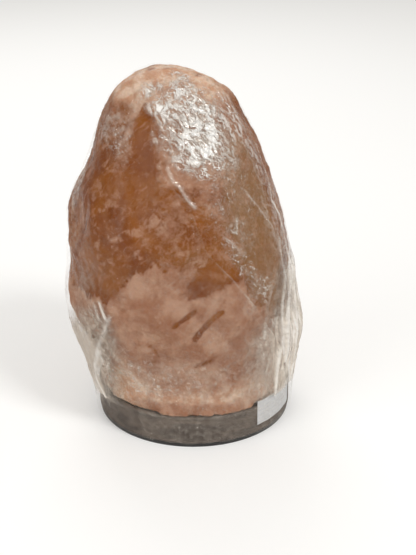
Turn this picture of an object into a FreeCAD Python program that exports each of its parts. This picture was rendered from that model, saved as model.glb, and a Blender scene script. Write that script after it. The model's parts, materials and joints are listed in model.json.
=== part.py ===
# Salt crystal lamp, as it is sold: a hewn salt stone on a turned wooden base, wrapped in clear stretch film.
#
# The stone is screwed to the base from below. A light unit, which is a lamp holder on a three-armed spring
# bracket with its bulb, is pushed up into the bore of base and stone, and pulls out downwards. The bulb
# unscrews from it.
# Frame: origin on the base's axis at the surface that the lamp stands on, +Z up, front at -Y, millimetres.

import FreeCAD, Part
import math
import os

import Sketcher

CLOSE_FIT = 0.05  # radial room of a screw or tube in its hole

# Every size that can be set by itself, by the name of its cell in the sheet.
SIZES = {
    # stone
    "stone_height": 194.4,
    "stone_width": 133.0,
    # felt ring glued under the base
    "pad_thickness": 2.0,
    "pad_inset": 0.6,
    "pad_hole_radius": 28.0,
    # turned wooden base
    "base_radius": 60.0,
    "base_thickness": 18.0,
    "base_edge_round": 1.5,
    "light_hole_radius": 23.0,
    "channel_width": 8.0,
    "channel_depth": 7.0,
    # fixing of the stone to the base
    "screw_circle_radius": 40.0,
    "screw_shank_radius": 2.0,
    "screw_head_radius": 4.0,
    "screw_head_height": 2.6,
    "screw_core_radius": 1.45,
    "screw_point": 4.0,
    "screw_thread_start": 1.0,
    "counterbore_radius": 5.6,
    "counterbore_depth": 7.0,
    "washer_radius": 5.0,
    "washer_thickness": 1.0,
    "plug_radius": 4.0,
    "plug_length": 28.0,
    "plug_nose": 3.0,
    "plug_nose_radius": 3.0,
    "pilot_spare_depth": 3.0,
    # trough and bore in the stone
    "flute_radius": 18.0,
    "flute_depth": 2.6,
    "bore_step": 2.0,
    "bore_depth": 92.0,
    # film and label
    "film_gap": 0.6,
    "film_wall": 0.3,
    "film_hem_rise": 0.4,
    "film_over_label": 1.0,
    "label_length": 38.0,
    "label_over_base": 3.5,
    "label_foot": 7.2,
    "label_paper": 0.2,
    # light unit: threaded tube, nut and spring bracket
    "tube_radius": 5.0,
    "tube_bore_radius": 3.6,
    "tube_foot": 4.5,
    "tube_length": 13.0,
    "nut_across_flats": 14.0,
    "nut_height": 3.5,
    "bracket_height": 10.0,
    "bracket_sheet": 0.6,
    "bracket_ring_radius": 11.0,
    "arm_overlap": 2.0,
    "arm_slope": 2.0,
    "arm_width": 7.0,
    "arm_wall_room": 0.2,
    "arm_rise": 3.2,
    "arm_land": 5.0,
    "arm_tip_height": 15.0,
    "arm_tip_turn": 4.2,
    # lamp holder
    "holder_radius": 13.0,
    "holder_mouth_radius": 11.5,
    "holder_wall": 1.6,
    "cap_height": 8.0,
    "cap_floor": 2.2,
    "holder_height": 32.0,
    "holder_step": 3.0,
    "block_height": 6.0,
    "block_seat": 2.0,
    "contact_sheet": 0.4,
    "contact_width": 4.0,
    "contact_reach": 5.4,
    "contact_bend": 3.2,
    "contact_crown": 1.4,
    "contact_room": 0.1,
    "tab_foot": 3.4,
    "tab_seat": 2.0,
    "terminal_edge_room": 2.0,
    "terminal_shank_radius": 1.5,
    "terminal_head_radius": 2.4,
    "terminal_head_height": 1.6,
    "terminal_depth": 4.0,
    "terminal_hole_spare": 0.5,
    # bulb with its screw cap
    "thread_pitch": 2.8,
    "thread_crest_radius": 6.95,
    "thread_depth": 0.5,
    "thread_room": 0.15,
    "shell_sheet": 0.35,
    "shell_foot": 1.0,
    "tip_height": 1.4,
    "tip_radius": 2.2,
    "insulator_radius": 4.9,
    "insulator_rim": 0.8,
    "insulator_foot_rim": 0.6,
    "cap_sheet": 0.5,
    "cap_rim_height": 2.0,
    "bulb_radius": 11.0,
    "bulb_wall": 0.6,
    "bulb_neck_depth": 4.0,
    "bulb_shoulder": 7.5,
    "bulb_barrel": 17.0,
    "stem_height": 14.0,
    "stem_radius": 1.8,
    "stem_flare_edge": 0.8,
    "stem_flare_height": 4.0,
    "stem_flare_step": 0.6,
    "filament_radius": 6.0,
    "filament_wire_radius": 0.35,
    "lead_radius": 0.3,
    "lead_foot": 1.1,
    "lead_gap": 0.2,
}

# The stone's outline. Each section's height is a percentage of the stone's height. Its width, its depth and
# how far it leans in x and y are percentages of the stone's width, or of the base's for the foot on it.
STONE = [
    ("foot", 0.0, 98.3, 97.9, -0.4, -0.8),
    ("waist", 12.3, 88.3, 83.6, -2.4, 0.0),
    ("underbelly", 23.1, 98.7, 90.0, -6.2, 0.4),
    ("belly", 34.0, 100.6, 94.0, -6.8, 0.8),
    ("flank", 47.3, 100.0, 93.2, -6.8, 1.5),
    ("shoulder", 59.2, 92.5, 87.2, -8.3, 2.3),
    ("neck", 72.0, 78.9, 74.4, -7.5, 3.0),
    ("brow", 82.8, 66.9, 63.2, -7.9, 3.4),
    ("crown", 91.6, 52.6, 49.6, -9.0, 3.8),
    ("peak", 96.7, 35.3, 33.1, -10.3, 3.8),
    ("summit", 100.0, 12.8, 12.0, -12.0, 3.8),
]

# Where the film is pulled tight across the stone's waist it has sections of its own, in the same form.
TENT = [
    ("tent_foot", 9.3, 98.1, 91.7, -2.1, 0.0),
    ("tent_waist", 18.5, 105.6, 94.0, -3.2, 0.4),
    ("tent_belly", 27.8, 106.4, 95.5, -5.5, 0.8),
    ("tent_shoulder", 38.1, 103.2, 96.2, -5.9, 1.0),
]
SEAM = 4  # index of the section where the lower and the upper part of stone and film meet

# Faces struck off the stone: degrees round from +X, height in percent as above, upward tilt, and depth.
CHIPS = [
    (205.0, 58.0, 12.0, 2.4),
    (238.0, 86.0, 38.0, 2.4),
    (275.0, 77.0, 24.0, 2.6),
    (283.0, 43.0, 2.0, 2.2),
    (318.0, 60.0, 14.0, 2.6),
    (350.0, 75.0, 28.0, 2.2),
    (18.0, 45.0, 6.0, 2.6),
    (55.0, 66.0, 18.0, 3.0),
    (100.0, 43.0, 2.0, 3.0),
    (146.0, 69.0, 20.0, 3.0),
    (175.0, 40.0, 0.0, 1.8),
    (70.0, 88.0, 44.0, 2.4),
]
CHIP_TOOL = 150.0  # side of the block that each struck face is cut with
FLUTE_FOOT = (-21.0, 57.0)  # x and height of the trough down the front, at its two ends, in percent as above
FLUTE_HEAD = (-24.0, 90.0)

N_SCREWS = 3
N_ARMS = 3
N_TERMINALS = 2
N_THREAD_RINGS = 6
N_SCREW_RINGS = 12
RING_FOOT, RING_CREST = 0.35, 0.9  # where a wood screw's ring starts and ends, in parts of its pitch
TIP_BEVEL, TIP_FACE = 0.6, 0.5  # the solder tip's bevel and face, in parts of its height and radius
HEAD_BEVEL, HEAD_FACE = 0.6, 0.8  # the same for a screw head
LABEL_AZIMUTH = -32.0  # the label's middle, in degrees round from +X
NUT_TURN = 15  # degrees that the nut's corners stand round from +X

doc = FreeCAD.newDocument("salt_lamp")
sheet = doc.addObject("Spreadsheet::Sheet", "size")


def fill_sheet():
    """Puts every driving dimension in a cell of its own."""
    cells = dict(SIZES)
    for name, height, width, depth, lean_x, lean_y in STONE + TENT:
        cells[f"{name}_height"] = height
        cells[f"{name}_width"] = width
        cells[f"{name}_depth"] = depth
        cells[f"{name}_lean_x"] = lean_x
        cells[f"{name}_lean_y"] = lean_y
    for row, (alias, value) in enumerate(cells.items(), start=1):
        sheet.set(f"A{row}", alias)
        sheet.set(f"B{row}", str(value))
        sheet.setAlias(f"B{row}", alias)
    doc.recompute()


def size(alias):
    """The value of one cell."""
    return float(sheet.get(alias))


# ---------------------------------------------------------------- heights that follow from the sizes
BASE_FOOT = "size.pad_thickness"
BASE_TOP = f"({BASE_FOOT} + size.base_thickness)"
SCREW_SEAT = f"({BASE_FOOT} + size.counterbore_depth)"
CAP_FOOT = "(size.bracket_height + size.bracket_sheet)"
BODY_FOOT = f"({CAP_FOOT} + size.cap_height)"
BODY_TOP = f"({BODY_FOOT} + size.holder_height)"
BLOCK_FOOT = f"({BODY_FOOT} + size.block_seat)"
BLOCK_TOP = f"({BLOCK_FOOT} + size.block_height)"
SHELL_FOOT = f"({BLOCK_TOP} + size.shell_foot)"
TIP_FOOT = f"({SHELL_FOOT} + size.thread_pitch / 2)"
INSULATOR_FOOT = f"({TIP_FOOT} + size.tip_height)"
BULB_CAP_FOOT = f"({SHELL_FOOT} + 1.5 * size.thread_pitch)"
BULB_CAP_TOP = f"({BULB_CAP_FOOT} + {N_THREAD_RINGS + 0.5} * size.thread_pitch)"
GLASS_FOOT = f"({BULB_CAP_TOP} - size.bulb_neck_depth)"
SHOULDER_TOP = f"({BULB_CAP_TOP} + size.bulb_shoulder)"
BARREL_TOP = f"({SHOULDER_TOP} + size.bulb_barrel)"
STEM_TOP = f"({GLASS_FOOT} + size.stem_height)"
FILAMENT_FOOT = f"({STEM_TOP} + size.filament_radius)"

# ---------------------------------------------------------------- radii that follow from the sizes
BORE = "(size.light_hole_radius + size.bore_step)"
PAD = "(size.base_radius - size.pad_inset)"
HOLDER_SEAT = "(size.holder_radius - size.holder_wall)"
HOLDER_THREAD = f"(size.thread_crest_radius + size.thread_room + size.shell_sheet + {CLOSE_FIT})"
TERMINAL_CIRCLE = f"({HOLDER_SEAT} - size.terminal_edge_room - size.terminal_head_radius)"
CAP_INSIDE = "(size.thread_crest_radius - size.thread_depth - size.cap_sheet)"
NECK = f"({CAP_INSIDE} - {CLOSE_FIT})"


# ---------------------------------------------------------------- ways to build
def origin_feature(body, role):
    """A plane or axis of the body's own origin."""
    return next(f for f in body.Origin.OriginFeatures if f.Role == role)


def new_body(label):
    body = doc.addObject("PartDesign::Body", label)
    body.Label = label
    body.AllowCompound = True
    return body


def new_sketch(body, name, role, height=None, shift=None):
    """A sketch on one of the body's own planes, raised by height, with its origin shifted along its x."""
    sketch = body.newObject("Sketcher::SketchObject", f"{body.Name}_{name}")
    sketch.AttachmentSupport = (origin_feature(body, role), [""])
    sketch.MapMode = "FlatFace"
    if height is not None:
        sketch.setExpression(".AttachmentOffset.Base.z", height)
    if shift is not None:
        sketch.setExpression(".AttachmentOffset.Base.x", shift)
    return sketch


def place_point(sketch, geometry, end, x, y):
    """Ties one end of a line to a place given by two expressions; "0" lies on the axis."""
    if x == "0":
        sketch.addConstraint(Sketcher.Constraint("PointOnObject", geometry, end, -2))
    else:
        tie = sketch.addConstraint(Sketcher.Constraint("DistanceX", -1, 1, geometry, end, 1.0))
        sketch.setExpression(f"Constraints[{tie}]", x)
    if y == "0":
        sketch.addConstraint(Sketcher.Constraint("PointOnObject", geometry, end, -1))
    else:
        tie = sketch.addConstraint(Sketcher.Constraint("DistanceY", -1, 1, geometry, end, 1.0))
        sketch.setExpression(f"Constraints[{tie}]", y)


def draw_polygon(sketch, points):
    """A closed outline through points, each a pair of expressions."""
    count = len(points)
    lines = []
    for i in range(count):
        start = FreeCAD.Vector(i, i * i, 0)
        after = (i + 1) % count
        end = FreeCAD.Vector(after, after * after, 0)
        lines.append(sketch.addGeometry(Part.LineSegment(start, end)))
    for i in range(count):
        sketch.addConstraint(Sketcher.Constraint("Coincident", lines[i], 2, lines[(i + 1) % count], 1))
    for line, (x, y) in zip(lines, points):
        place_point(sketch, line, 1, x, y)


def draw_circle(sketch, radius):
    circle = sketch.addGeometry(Part.Circle(FreeCAD.Vector(), FreeCAD.Vector(0, 0, 1), 1.0))
    sketch.addConstraint(Sketcher.Constraint("Coincident", circle, 3, -1, 1))
    tie = sketch.addConstraint(Sketcher.Constraint("Radius", circle, 1.0))
    sketch.setExpression(f"Constraints[{tie}]", radius)


def pad(body, name, sketch, length, midplane=False):
    feature = body.newObject("PartDesign::Pad", f"{body.Name}_{name}")
    feature.Profile = sketch
    feature.setExpression("Length", length)
    feature.Midplane = midplane
    return feature


def pocket(body, name, sketch, length, upward=True):
    """A pocket of the given depth that cuts from its sketch upwards, or else downwards."""
    feature = body.newObject("PartDesign::Pocket", f"{body.Name}_{name}")
    feature.Profile = sketch
    feature.setExpression("Length", length)
    feature.Reversed = upward
    return feature


def revolve(body, name, sketch):
    feature = body.newObject("PartDesign::Revolution", f"{body.Name}_{name}")
    feature.Profile = sketch
    feature.ReferenceAxis = (sketch, ["V_Axis"])
    feature.Angle = 360
    return feature


def ring_pattern(body, name, original, count):
    """Repeats one feature evenly round the body's Z axis."""
    pattern = body.newObject("PartDesign::PolarPattern", f"{body.Name}_{name}")
    pattern.Originals = [original]
    pattern.Axis = (origin_feature(body, "Z_Axis"), [""])
    pattern.Angle = 360
    pattern.Occurrences = count
    body.Tip = pattern
    return pattern


def turned(label, points, shift=None, count=1):
    """A turned piece: an outline of radius and height, spun round. Several stand in a ring at shift."""
    body = new_body(label)
    sketch = new_sketch(body, "outline", "XZ_Plane", shift=shift)
    draw_polygon(sketch, points)
    spun = revolve(body, "turned", sketch)
    if count > 1:
        ring_pattern(body, "ring", spun, count)
    return body


def disc(body, name, radius, foot, length, shift=None):
    """A round pad on the body, from height foot."""
    sketch = new_sketch(body, f"{name}_sketch", "XY_Plane", height=foot, shift=shift)
    draw_circle(sketch, radius)
    return pad(body, name, sketch, length)


def round_pocket(body, name, radius, foot, length, shift=None):
    """A round hole that is cut upwards from height foot."""
    sketch = new_sketch(body, f"{name}_sketch", "XY_Plane", height=foot, shift=shift)
    draw_circle(sketch, radius)
    return pocket(body, name, sketch, length)


def cylinder(name, radius, foot, length):
    tool = doc.addObject("Part::Cylinder", name)
    tool.setExpression("Radius", radius)
    tool.setExpression("Height", length)
    tool.setExpression("Placement.Base.z", foot)
    return tool


def cut(label, base, tool):
    result = doc.addObject("Part::Cut", label)
    result.Label = label
    result.Base = base
    result.Tool = tool
    return result


def fuse(name, shapes):
    result = doc.addObject("Part::MultiFuse", name)
    result.Label = name
    result.Shapes = shapes
    return result


def rod(name, start, end, radius):
    """A thin round rod between two points."""
    result = doc.addObject("Part::Cylinder", name)
    result.setExpression("Radius", radius)
    result.Height = (end - start).Length
    turn = FreeCAD.Rotation(FreeCAD.Vector(0, 0, 1), end - start)
    result.Placement = FreeCAD.Placement(start, turn)
    return result


# ---------------------------------------------------------------- the stone and its film
def share(name, what):
    """One figure of a section in millimetres, as an expression."""
    if what == "height":
        whole = "size.stone_height"
    elif name == "foot":
        whole = "2 * size.base_radius"
    else:
        whole = "size.stone_width"
    return f"size.{name}_{what} / 100 * {whole}"


def section(name, kind, growth, rise="0"):
    """One oval section of the stone or film, grown all round and raised a little."""
    oval = doc.addObject("Part::Ellipse", f"{kind}_{name}")
    oval.setExpression("MajorRadius", f"{share(name, 'width')} / 2 + {growth}")
    oval.setExpression("MinorRadius", f"{share(name, 'depth')} / 2 + {growth}")
    oval.setExpression("Placement.Base.x", share(name, "lean_x"))
    oval.setExpression("Placement.Base.y", share(name, "lean_y"))
    oval.setExpression("Placement.Base.z", f"{BASE_TOP} + {share(name, 'height')} + {rise}")
    return oval


def loft(name, sections):
    result = doc.addObject("Part::Loft", name)
    result.Sections = sections
    result.Solid = True
    result.Ruled = False
    return result


def stone_half_size(height):
    """The stone's centre and half sizes at a height in percent, between its sections."""
    for low, high in zip(STONE, STONE[1:]):
        if height <= size(f"{high[0]}_height"):
            break
    bottom, top = size(f"{low[0]}_height"), size(f"{high[0]}_height")
    part = (height - bottom) / (top - bottom)

    def between(what):
        low_value, high_value = (float(sheet.evalExpression(share(row[0], what))) for row in (low, high))
        return low_value * (1 - part) + high_value * part

    centre = FreeCAD.Vector(between("lean_x"), between("lean_y"), 0)
    return centre, between("width") / 2, between("depth") / 2


def level(height):
    """The height above the floor of a height on the stone in percent."""
    return size("pad_thickness") + size("base_thickness") + height / 100 * size("stone_height")


def chip_block(index, azimuth, height, tilt, depth):
    """The block whose near face strikes one flat off the stone."""
    centre, half_x, half_y = stone_half_size(height)
    a, t = math.radians(azimuth), math.radians(tilt)
    reach = 1 / math.hypot(math.cos(a) / half_x, math.sin(a) / half_y)
    outward = FreeCAD.Vector(math.cos(a) * math.cos(t), math.sin(a) * math.cos(t), math.sin(t))
    struck = centre + FreeCAD.Vector(math.cos(a), math.sin(a), 0) * reach
    struck.z = level(height)
    turn = FreeCAD.Rotation(FreeCAD.Vector(1, 0, 0), outward)
    corner = turn.multVec(FreeCAD.Vector(0, -CHIP_TOOL / 2, -CHIP_TOOL / 2))
    block = doc.addObject("Part::Box", f"chip_{index}")
    block.Length = block.Width = block.Height = CHIP_TOOL
    block.Placement = FreeCAD.Placement(struck - outward * depth + corner, turn)
    return block


def front_of_stone(across, height):
    """A place on the stone's front, given in percent, and the level direction out of it."""
    x = across / 100 * size("stone_width")
    centre, half_x, half_y = stone_half_size(height)
    y = centre.y - half_y * math.sqrt(1 - ((x - centre.x) / half_x) ** 2)
    out = FreeCAD.Vector((x - centre.x) / half_x**2, (y - centre.y) / half_y**2, 0).normalize()
    return FreeCAD.Vector(x, y, level(height)), out


def flute_tool():
    """The round bar that cuts the trough down the front of the stone, deepest halfway up."""
    foot, _ = front_of_stone(*FLUTE_FOOT)
    head, _ = front_of_stone(*FLUTE_HEAD)
    middle, out = front_of_stone(*[(low + high) / 2 for low, high in zip(FLUTE_FOOT, FLUTE_HEAD)])
    axis = middle + out * (size("flute_radius") - size("flute_depth"))
    reach = (head - foot) * 0.6
    return rod("flute", axis - reach, axis + reach, "size.flute_radius")


def make_stone():
    """The salt stone, struck off in flats, bored from below for the light and drilled for three plugs."""
    ovals = [section(row[0], "stone", "0") for row in STONE]
    lower, upper = loft("stone_lower", ovals[: SEAM + 1]), loft("stone_upper", ovals[SEAM:])
    bore = cylinder("stone_bore", BORE, BASE_TOP, "size.bore_depth")
    pilots = []
    for i in range(N_SCREWS):
        depth = "size.plug_length + size.pilot_spare_depth"
        pilot = cylinder(f"pilot_{i}", f"size.plug_radius + {CLOSE_FIT}", BASE_TOP, depth)
        turn = 360 / N_SCREWS * i
        pilot.setExpression("Placement.Base.x", f"size.screw_circle_radius * cos({turn})")
        pilot.setExpression("Placement.Base.y", f"size.screw_circle_radius * sin({turn})")
        pilots.append(pilot)
    chips = [chip_block(i, *chip) for i, chip in enumerate(CHIPS)]
    form = fuse("stone_form", [lower, upper])
    return cut("salt_crystal", form, fuse("stone_tools", [bore, *pilots, *chips, flute_tool()]))


def film_form(name, growth, foot):
    """A solid of the film's outline: round the stone, tight across its waist, and a skirt round the base."""
    rise = f"{BASE_TOP} + size.label_over_base + size.film_over_label"
    skirt = cylinder(f"{name}_skirt", f"size.base_radius + {growth}", foot, f"{rise} - {foot}")
    ring = doc.addObject("Part::Ellipse", f"{name}_ring")
    ring.setExpression("MajorRadius", f"size.base_radius + {growth}")
    ring.setExpression("MinorRadius", f"size.base_radius + {growth}")
    ring.setExpression("Placement.Base.z", rise)
    ovals = [section(row[0], name, growth) for row in STONE[SEAM:-1]]
    ovals.append(section(STONE[-1][0], name, growth, rise=growth))
    tent = loft(f"{name}_tent", [ring] + [section(row[0], name, growth) for row in TENT] + ovals[:1])
    return fuse(f"{name}_form", [skirt, tent, loft(f"{name}_upper", ovals)])


def make_film():
    """Stretch film round stone and base, open at its hem round the base's lower edge."""
    outer = film_form("film_outer", "size.film_gap + size.film_wall", f"({BASE_FOOT} + size.film_hem_rise)")
    inner = film_form("film_inner", "size.film_gap", "0")
    return cut("stretch_film", outer, inner)


def make_label():
    """A paper label laid round the base's edge, under the film."""
    body = new_body("paper_label")
    inner_radius = f"(size.base_radius + {2 * CLOSE_FIT})"
    sketch = new_sketch(body, "strip", "XZ_Plane", shift=inner_radius)
    top = f"{BASE_TOP} + size.label_over_base"
    paper = "size.label_paper"
    draw_polygon(sketch, [("0", "size.label_foot"), (paper, "size.label_foot"), (paper, top), ("0", top)])
    feature = body.newObject("PartDesign::Revolution", "paper_label_bent")
    feature.Profile = sketch
    feature.ReferenceAxis = (origin_feature(body, "Z_Axis"), [""])
    feature.Midplane = True
    feature.setExpression("Angle", f"size.label_length / {inner_radius} * 1 rad")
    body.Placement.Rotation = FreeCAD.Rotation(FreeCAD.Vector(0, 0, 1), LABEL_AZIMUTH)
    return body


# ---------------------------------------------------------------- the base and what fixes the stone to it
def make_base():
    """Turned wooden disc with the light's hole, the cord's channel at the back and three screw holes."""
    body = new_body("wooden_base")
    round_disc = disc(body, "disc", "size.base_radius", BASE_FOOT, "size.base_thickness")
    doc.recompute()
    rims = [
        f"Edge{i}"
        for i, edge in enumerate(round_disc.Shape.Edges, start=1)
        if isinstance(edge.Curve, Part.Circle)
    ]
    rounding = body.newObject("PartDesign::Fillet", "wooden_base_edges")
    rounding.Base = (round_disc, rims)
    rounding.setExpression("Radius", "size.base_edge_round")
    round_pocket(body, "light_hole", "size.light_hole_radius", BASE_FOOT, "size.base_thickness")
    channel = new_sketch(body, "channel_sketch", "XY_Plane", height=BASE_FOOT)
    side, end = "size.channel_width / 2", "size.base_radius + 1"
    draw_polygon(channel, [(f"-{side}", "0"), (side, "0"), (side, end), (f"-{side}", end)])
    pocket(body, "channel", channel, "size.channel_depth")
    ring = "size.screw_circle_radius"
    hole_radius = f"size.screw_shank_radius + {CLOSE_FIT}"
    hole = round_pocket(body, "screw_hole", hole_radius, BASE_FOOT, "size.base_thickness", shift=ring)
    ring_pattern(body, "screw_holes", hole, N_SCREWS)
    seat = round_pocket(
        body, "counterbore", "size.counterbore_radius", BASE_FOOT, "size.counterbore_depth", shift=ring
    )
    ring_pattern(body, "counterbores", seat, N_SCREWS)
    return body


def make_pad():
    """Felt ring under the base, which hides the screws."""
    body = new_body("felt_pad")
    disc(body, "disc", PAD, "0", "size.pad_thickness")
    round_pocket(body, "hole", "size.pad_hole_radius", "0", "size.pad_thickness")
    return body


def make_screws():
    """Three wood screws with ringed threads, from their seats in the base up into the plugs."""
    seat = f"({SCREW_SEAT} - size.washer_thickness)"
    tip = f"({BASE_TOP} + size.plug_length - size.screw_thread_start)"
    shank, core = "size.screw_shank_radius", "size.screw_core_radius"
    thread_foot = f"({BASE_TOP} + size.screw_thread_start)"
    step = f"(({tip} - size.screw_point - {thread_foot}) / {N_SCREW_RINGS})"
    points = [
        ("0", f"{seat} - size.screw_head_height"),
        (f"size.screw_head_radius * {HEAD_FACE}", f"{seat} - size.screw_head_height"),
        ("size.screw_head_radius", f"{seat} - size.screw_head_height * {HEAD_BEVEL}"),
        ("size.screw_head_radius", seat),
        (shank, seat),
        (shank, thread_foot),
    ]
    for i in range(N_SCREW_RINGS):
        points.append((core, f"{thread_foot} + {step} * {i + RING_FOOT}"))
        points.append((shank, f"{thread_foot} + {step} * {i + RING_CREST}"))
    points.append((core, f"{tip} - size.screw_point"))
    points.append(("0", tip))
    return turned("fixing_screws", points, shift="size.screw_circle_radius", count=N_SCREWS)


def make_washers():
    """A flat washer under each screw head."""
    top = SCREW_SEAT
    foot = f"{SCREW_SEAT} - size.washer_thickness"
    hole = f"size.screw_shank_radius + {CLOSE_FIT}"
    points = [(hole, foot), ("size.washer_radius", foot), ("size.washer_radius", top), (hole, top)]
    return turned("screw_washers", points, shift="size.screw_circle_radius", count=N_SCREWS)


def make_plugs():
    """Three nylon plugs in the stone, which the screws bite in."""
    top = f"{BASE_TOP} + size.plug_length"
    hole = f"size.screw_shank_radius + {CLOSE_FIT}"
    points = [
        (hole, BASE_TOP),
        ("size.plug_radius", BASE_TOP),
        ("size.plug_radius", f"{top} - size.plug_nose"),
        ("size.plug_nose_radius", top),
        (hole, top),
    ]
    return turned("wall_plugs", points, shift="size.screw_circle_radius", count=N_SCREWS)


# ---------------------------------------------------------------- the light unit
def make_tube():
    """Threaded tube that holds bracket and holder together; the cord enters through it."""
    top = "size.tube_foot + size.tube_length"
    bore, wall = "size.tube_bore_radius", "size.tube_radius"
    points = [(bore, "size.tube_foot"), (wall, "size.tube_foot"), (wall, top), (bore, top)]
    return turned("threaded_tube", points)


def make_nut():
    """Hexagonal lock nut under the bracket."""
    body = new_body("lock_nut")
    foot = "size.bracket_height - size.nut_height"
    hexagon = new_sketch(body, "hexagon", "XY_Plane", height=foot)
    corner = "(size.nut_across_flats / 2 / cos(30))"
    turns = [60 * i + NUT_TURN for i in range(6)]
    draw_polygon(hexagon, [(f"{corner} * cos({turn})", f"{corner} * sin({turn})") for turn in turns])
    pad(body, "blank", hexagon, "size.nut_height")
    round_pocket(body, "hole", f"size.tube_radius + {CLOSE_FIT}", foot, "size.nut_height")
    return body


def make_bracket():
    """Spring bracket: a ring with three bent arms that press against the wall of the base's hole."""
    body = new_body("spring_bracket")
    foot, sheet_size = "size.bracket_height", "size.bracket_sheet"
    disc(body, "ring", "size.bracket_ring_radius", foot, sheet_size)
    inner = "size.bracket_ring_radius - size.arm_overlap"
    corner_reach = "(size.light_hole_radius - size.arm_wall_room)"
    wall = f"sqrt({corner_reach} ^ 2 - (size.arm_width / 2) ^ 2)"
    turn, land = f"{foot} + size.arm_rise", f"{foot} + size.arm_rise + size.arm_land"
    tip = f"{foot} + size.arm_rise + size.arm_land + size.arm_tip_height"
    points = [
        (inner, foot),
        (f"{wall} - size.arm_slope", foot),
        (wall, turn),
        (wall, land),
        (f"{wall} - size.arm_tip_turn", tip),
        (f"{wall} - size.arm_tip_turn - {sheet_size}", tip),
        (f"{wall} - {sheet_size}", land),
        (f"{wall} - {sheet_size}", f"{turn} + {sheet_size} / 2"),
        (f"{wall} - size.arm_slope - {sheet_size} / 2", f"{foot} + {sheet_size}"),
        (inner, f"{foot} + {sheet_size}"),
    ]
    arm_sketch = new_sketch(body, "arm_sketch", "XZ_Plane")
    draw_polygon(arm_sketch, points)
    arm = pad(body, "arm", arm_sketch, "size.arm_width", midplane=True)
    ring_pattern(body, "arms", arm, N_ARMS)
    round_pocket(body, "hole", f"size.tube_radius + {CLOSE_FIT}", foot, sheet_size)
    return body


def make_holder_cap():
    """Cup under the lamp holder, clamped on the tube."""
    hole, rim = f"size.tube_radius + {CLOSE_FIT}", "size.holder_radius"
    inside, floor = HOLDER_SEAT, f"{CAP_FOOT} + size.cap_floor"
    outer_side = [(hole, CAP_FOOT), (rim, CAP_FOOT), (rim, BODY_FOOT)]
    inner_side = [(inside, BODY_FOOT), (inside, floor), (hole, floor)]
    return turned("holder_cap", outer_side + inner_side)


def make_holder_body():
    """Sleeve round the contact block and the thread shell."""
    seat, thread, step = HOLDER_SEAT, HOLDER_THREAD, "size.holder_step"
    points = [
        (seat, BODY_FOOT),
        ("size.holder_radius", BODY_FOOT),
        ("size.holder_radius", BLOCK_TOP),
        ("size.holder_mouth_radius", f"{BLOCK_TOP} + {step}"),
        ("size.holder_mouth_radius", f"{BODY_TOP} - {step}"),
        (f"{thread} + size.holder_wall", BODY_TOP),
        (thread, BODY_TOP),
        (thread, BLOCK_TOP),
        (seat, BLOCK_TOP),
    ]
    return turned("holder_body", points)


def make_contact_block():
    """Ceramic block that carries both contacts and their terminal screws."""
    body = new_body("contact_block")
    disc(body, "disc", f"{HOLDER_SEAT} - {CLOSE_FIT}", BLOCK_FOOT, "size.block_height")
    hole = round_pocket(
        body,
        "terminal_hole",
        f"size.terminal_shank_radius + {CLOSE_FIT}",
        BLOCK_FOOT,
        "size.terminal_depth + size.terminal_hole_spare",
        shift=TERMINAL_CIRCLE,
    )
    ring_pattern(body, "terminal_holes", hole, N_TERMINALS)
    return body


def make_terminal_screws():
    """Two terminal screws in the block's underside."""
    foot, head = f"{BLOCK_FOOT} - size.terminal_head_height", "size.terminal_head_radius"
    shank, top = "size.terminal_shank_radius", f"{BLOCK_FOOT} + size.terminal_depth"
    points = [("0", foot), (head, foot), (head, BLOCK_FOOT), (shank, BLOCK_FOOT), (shank, top), ("0", top)]
    return turned("terminal_screws", points, shift=TERMINAL_CIRCLE, count=N_TERMINALS)


def make_centre_contact():
    """Bent brass strip on the block, sprung up against the bulb's tip."""
    body = new_body("centre_contact")
    foot, thick = f"{BLOCK_TOP} + {CLOSE_FIT}", "size.contact_sheet"
    crest = f"{TIP_FOOT} - size.contact_room"
    end, bend, flat = "size.contact_reach", "size.contact_bend", "size.contact_crown"
    lower = [(end, foot), (bend, foot), (flat, f"{crest} - {thick}")]
    flat_top, bend_top, end_top = f"{flat} + {thick} / 2", f"{bend} + {thick} / 2", f"{foot} + {thick}"
    upper = [(flat_top, crest), (bend_top, end_top), (end, end_top)]
    right_side = lower[::-1] + upper[::-1]
    left_side = [(f"-({x})", z) for x, z in upper + lower]
    points = right_side + left_side
    strip = new_sketch(body, "strip", "XZ_Plane")
    draw_polygon(strip, points)
    pad(body, "bent", strip, "size.contact_width", midplane=True)
    return body


def make_side_contact():
    """Brass tab between the block and the foot of the thread shell."""
    body = new_body("side_contact")
    tab = new_sketch(body, "tab", "YZ_Plane")
    foot, top = f"{BLOCK_TOP} + {CLOSE_FIT}", f"{SHELL_FOOT} - {CLOSE_FIT}"
    near, far = "size.tab_foot", "size.thread_crest_radius"
    seat, bend = (f"{far} - size.tab_seat", top), (near, f"{foot} + size.contact_sheet")
    draw_polygon(tab, [(near, foot), (far, foot), (far, top), seat, bend])
    pad(body, "bent", tab, "size.contact_width", midplane=True)
    return body


def thread_outline(foot, crest, first_is_crest=True):
    """Places on a ringed thread, half a pitch apart, from height foot up."""
    points = []
    for i in range(2 * N_THREAD_RINGS + 2):
        out = (i % 2 == 0) == first_is_crest
        radius = crest if out else f"{crest} - size.thread_depth"
        points.append((radius, f"{foot} + size.thread_pitch * {i / 2}"))
    return points


def make_thread_shell():
    """Thin brass shell inside the holder, ringed to take the bulb's cap."""
    crest = "size.thread_crest_radius + size.thread_room"
    inside = thread_outline(SHELL_FOOT, crest)
    outside = [(f"{radius} + size.shell_sheet", height) for radius, height in inside]
    return turned("thread_shell", inside + outside[::-1])


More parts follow.
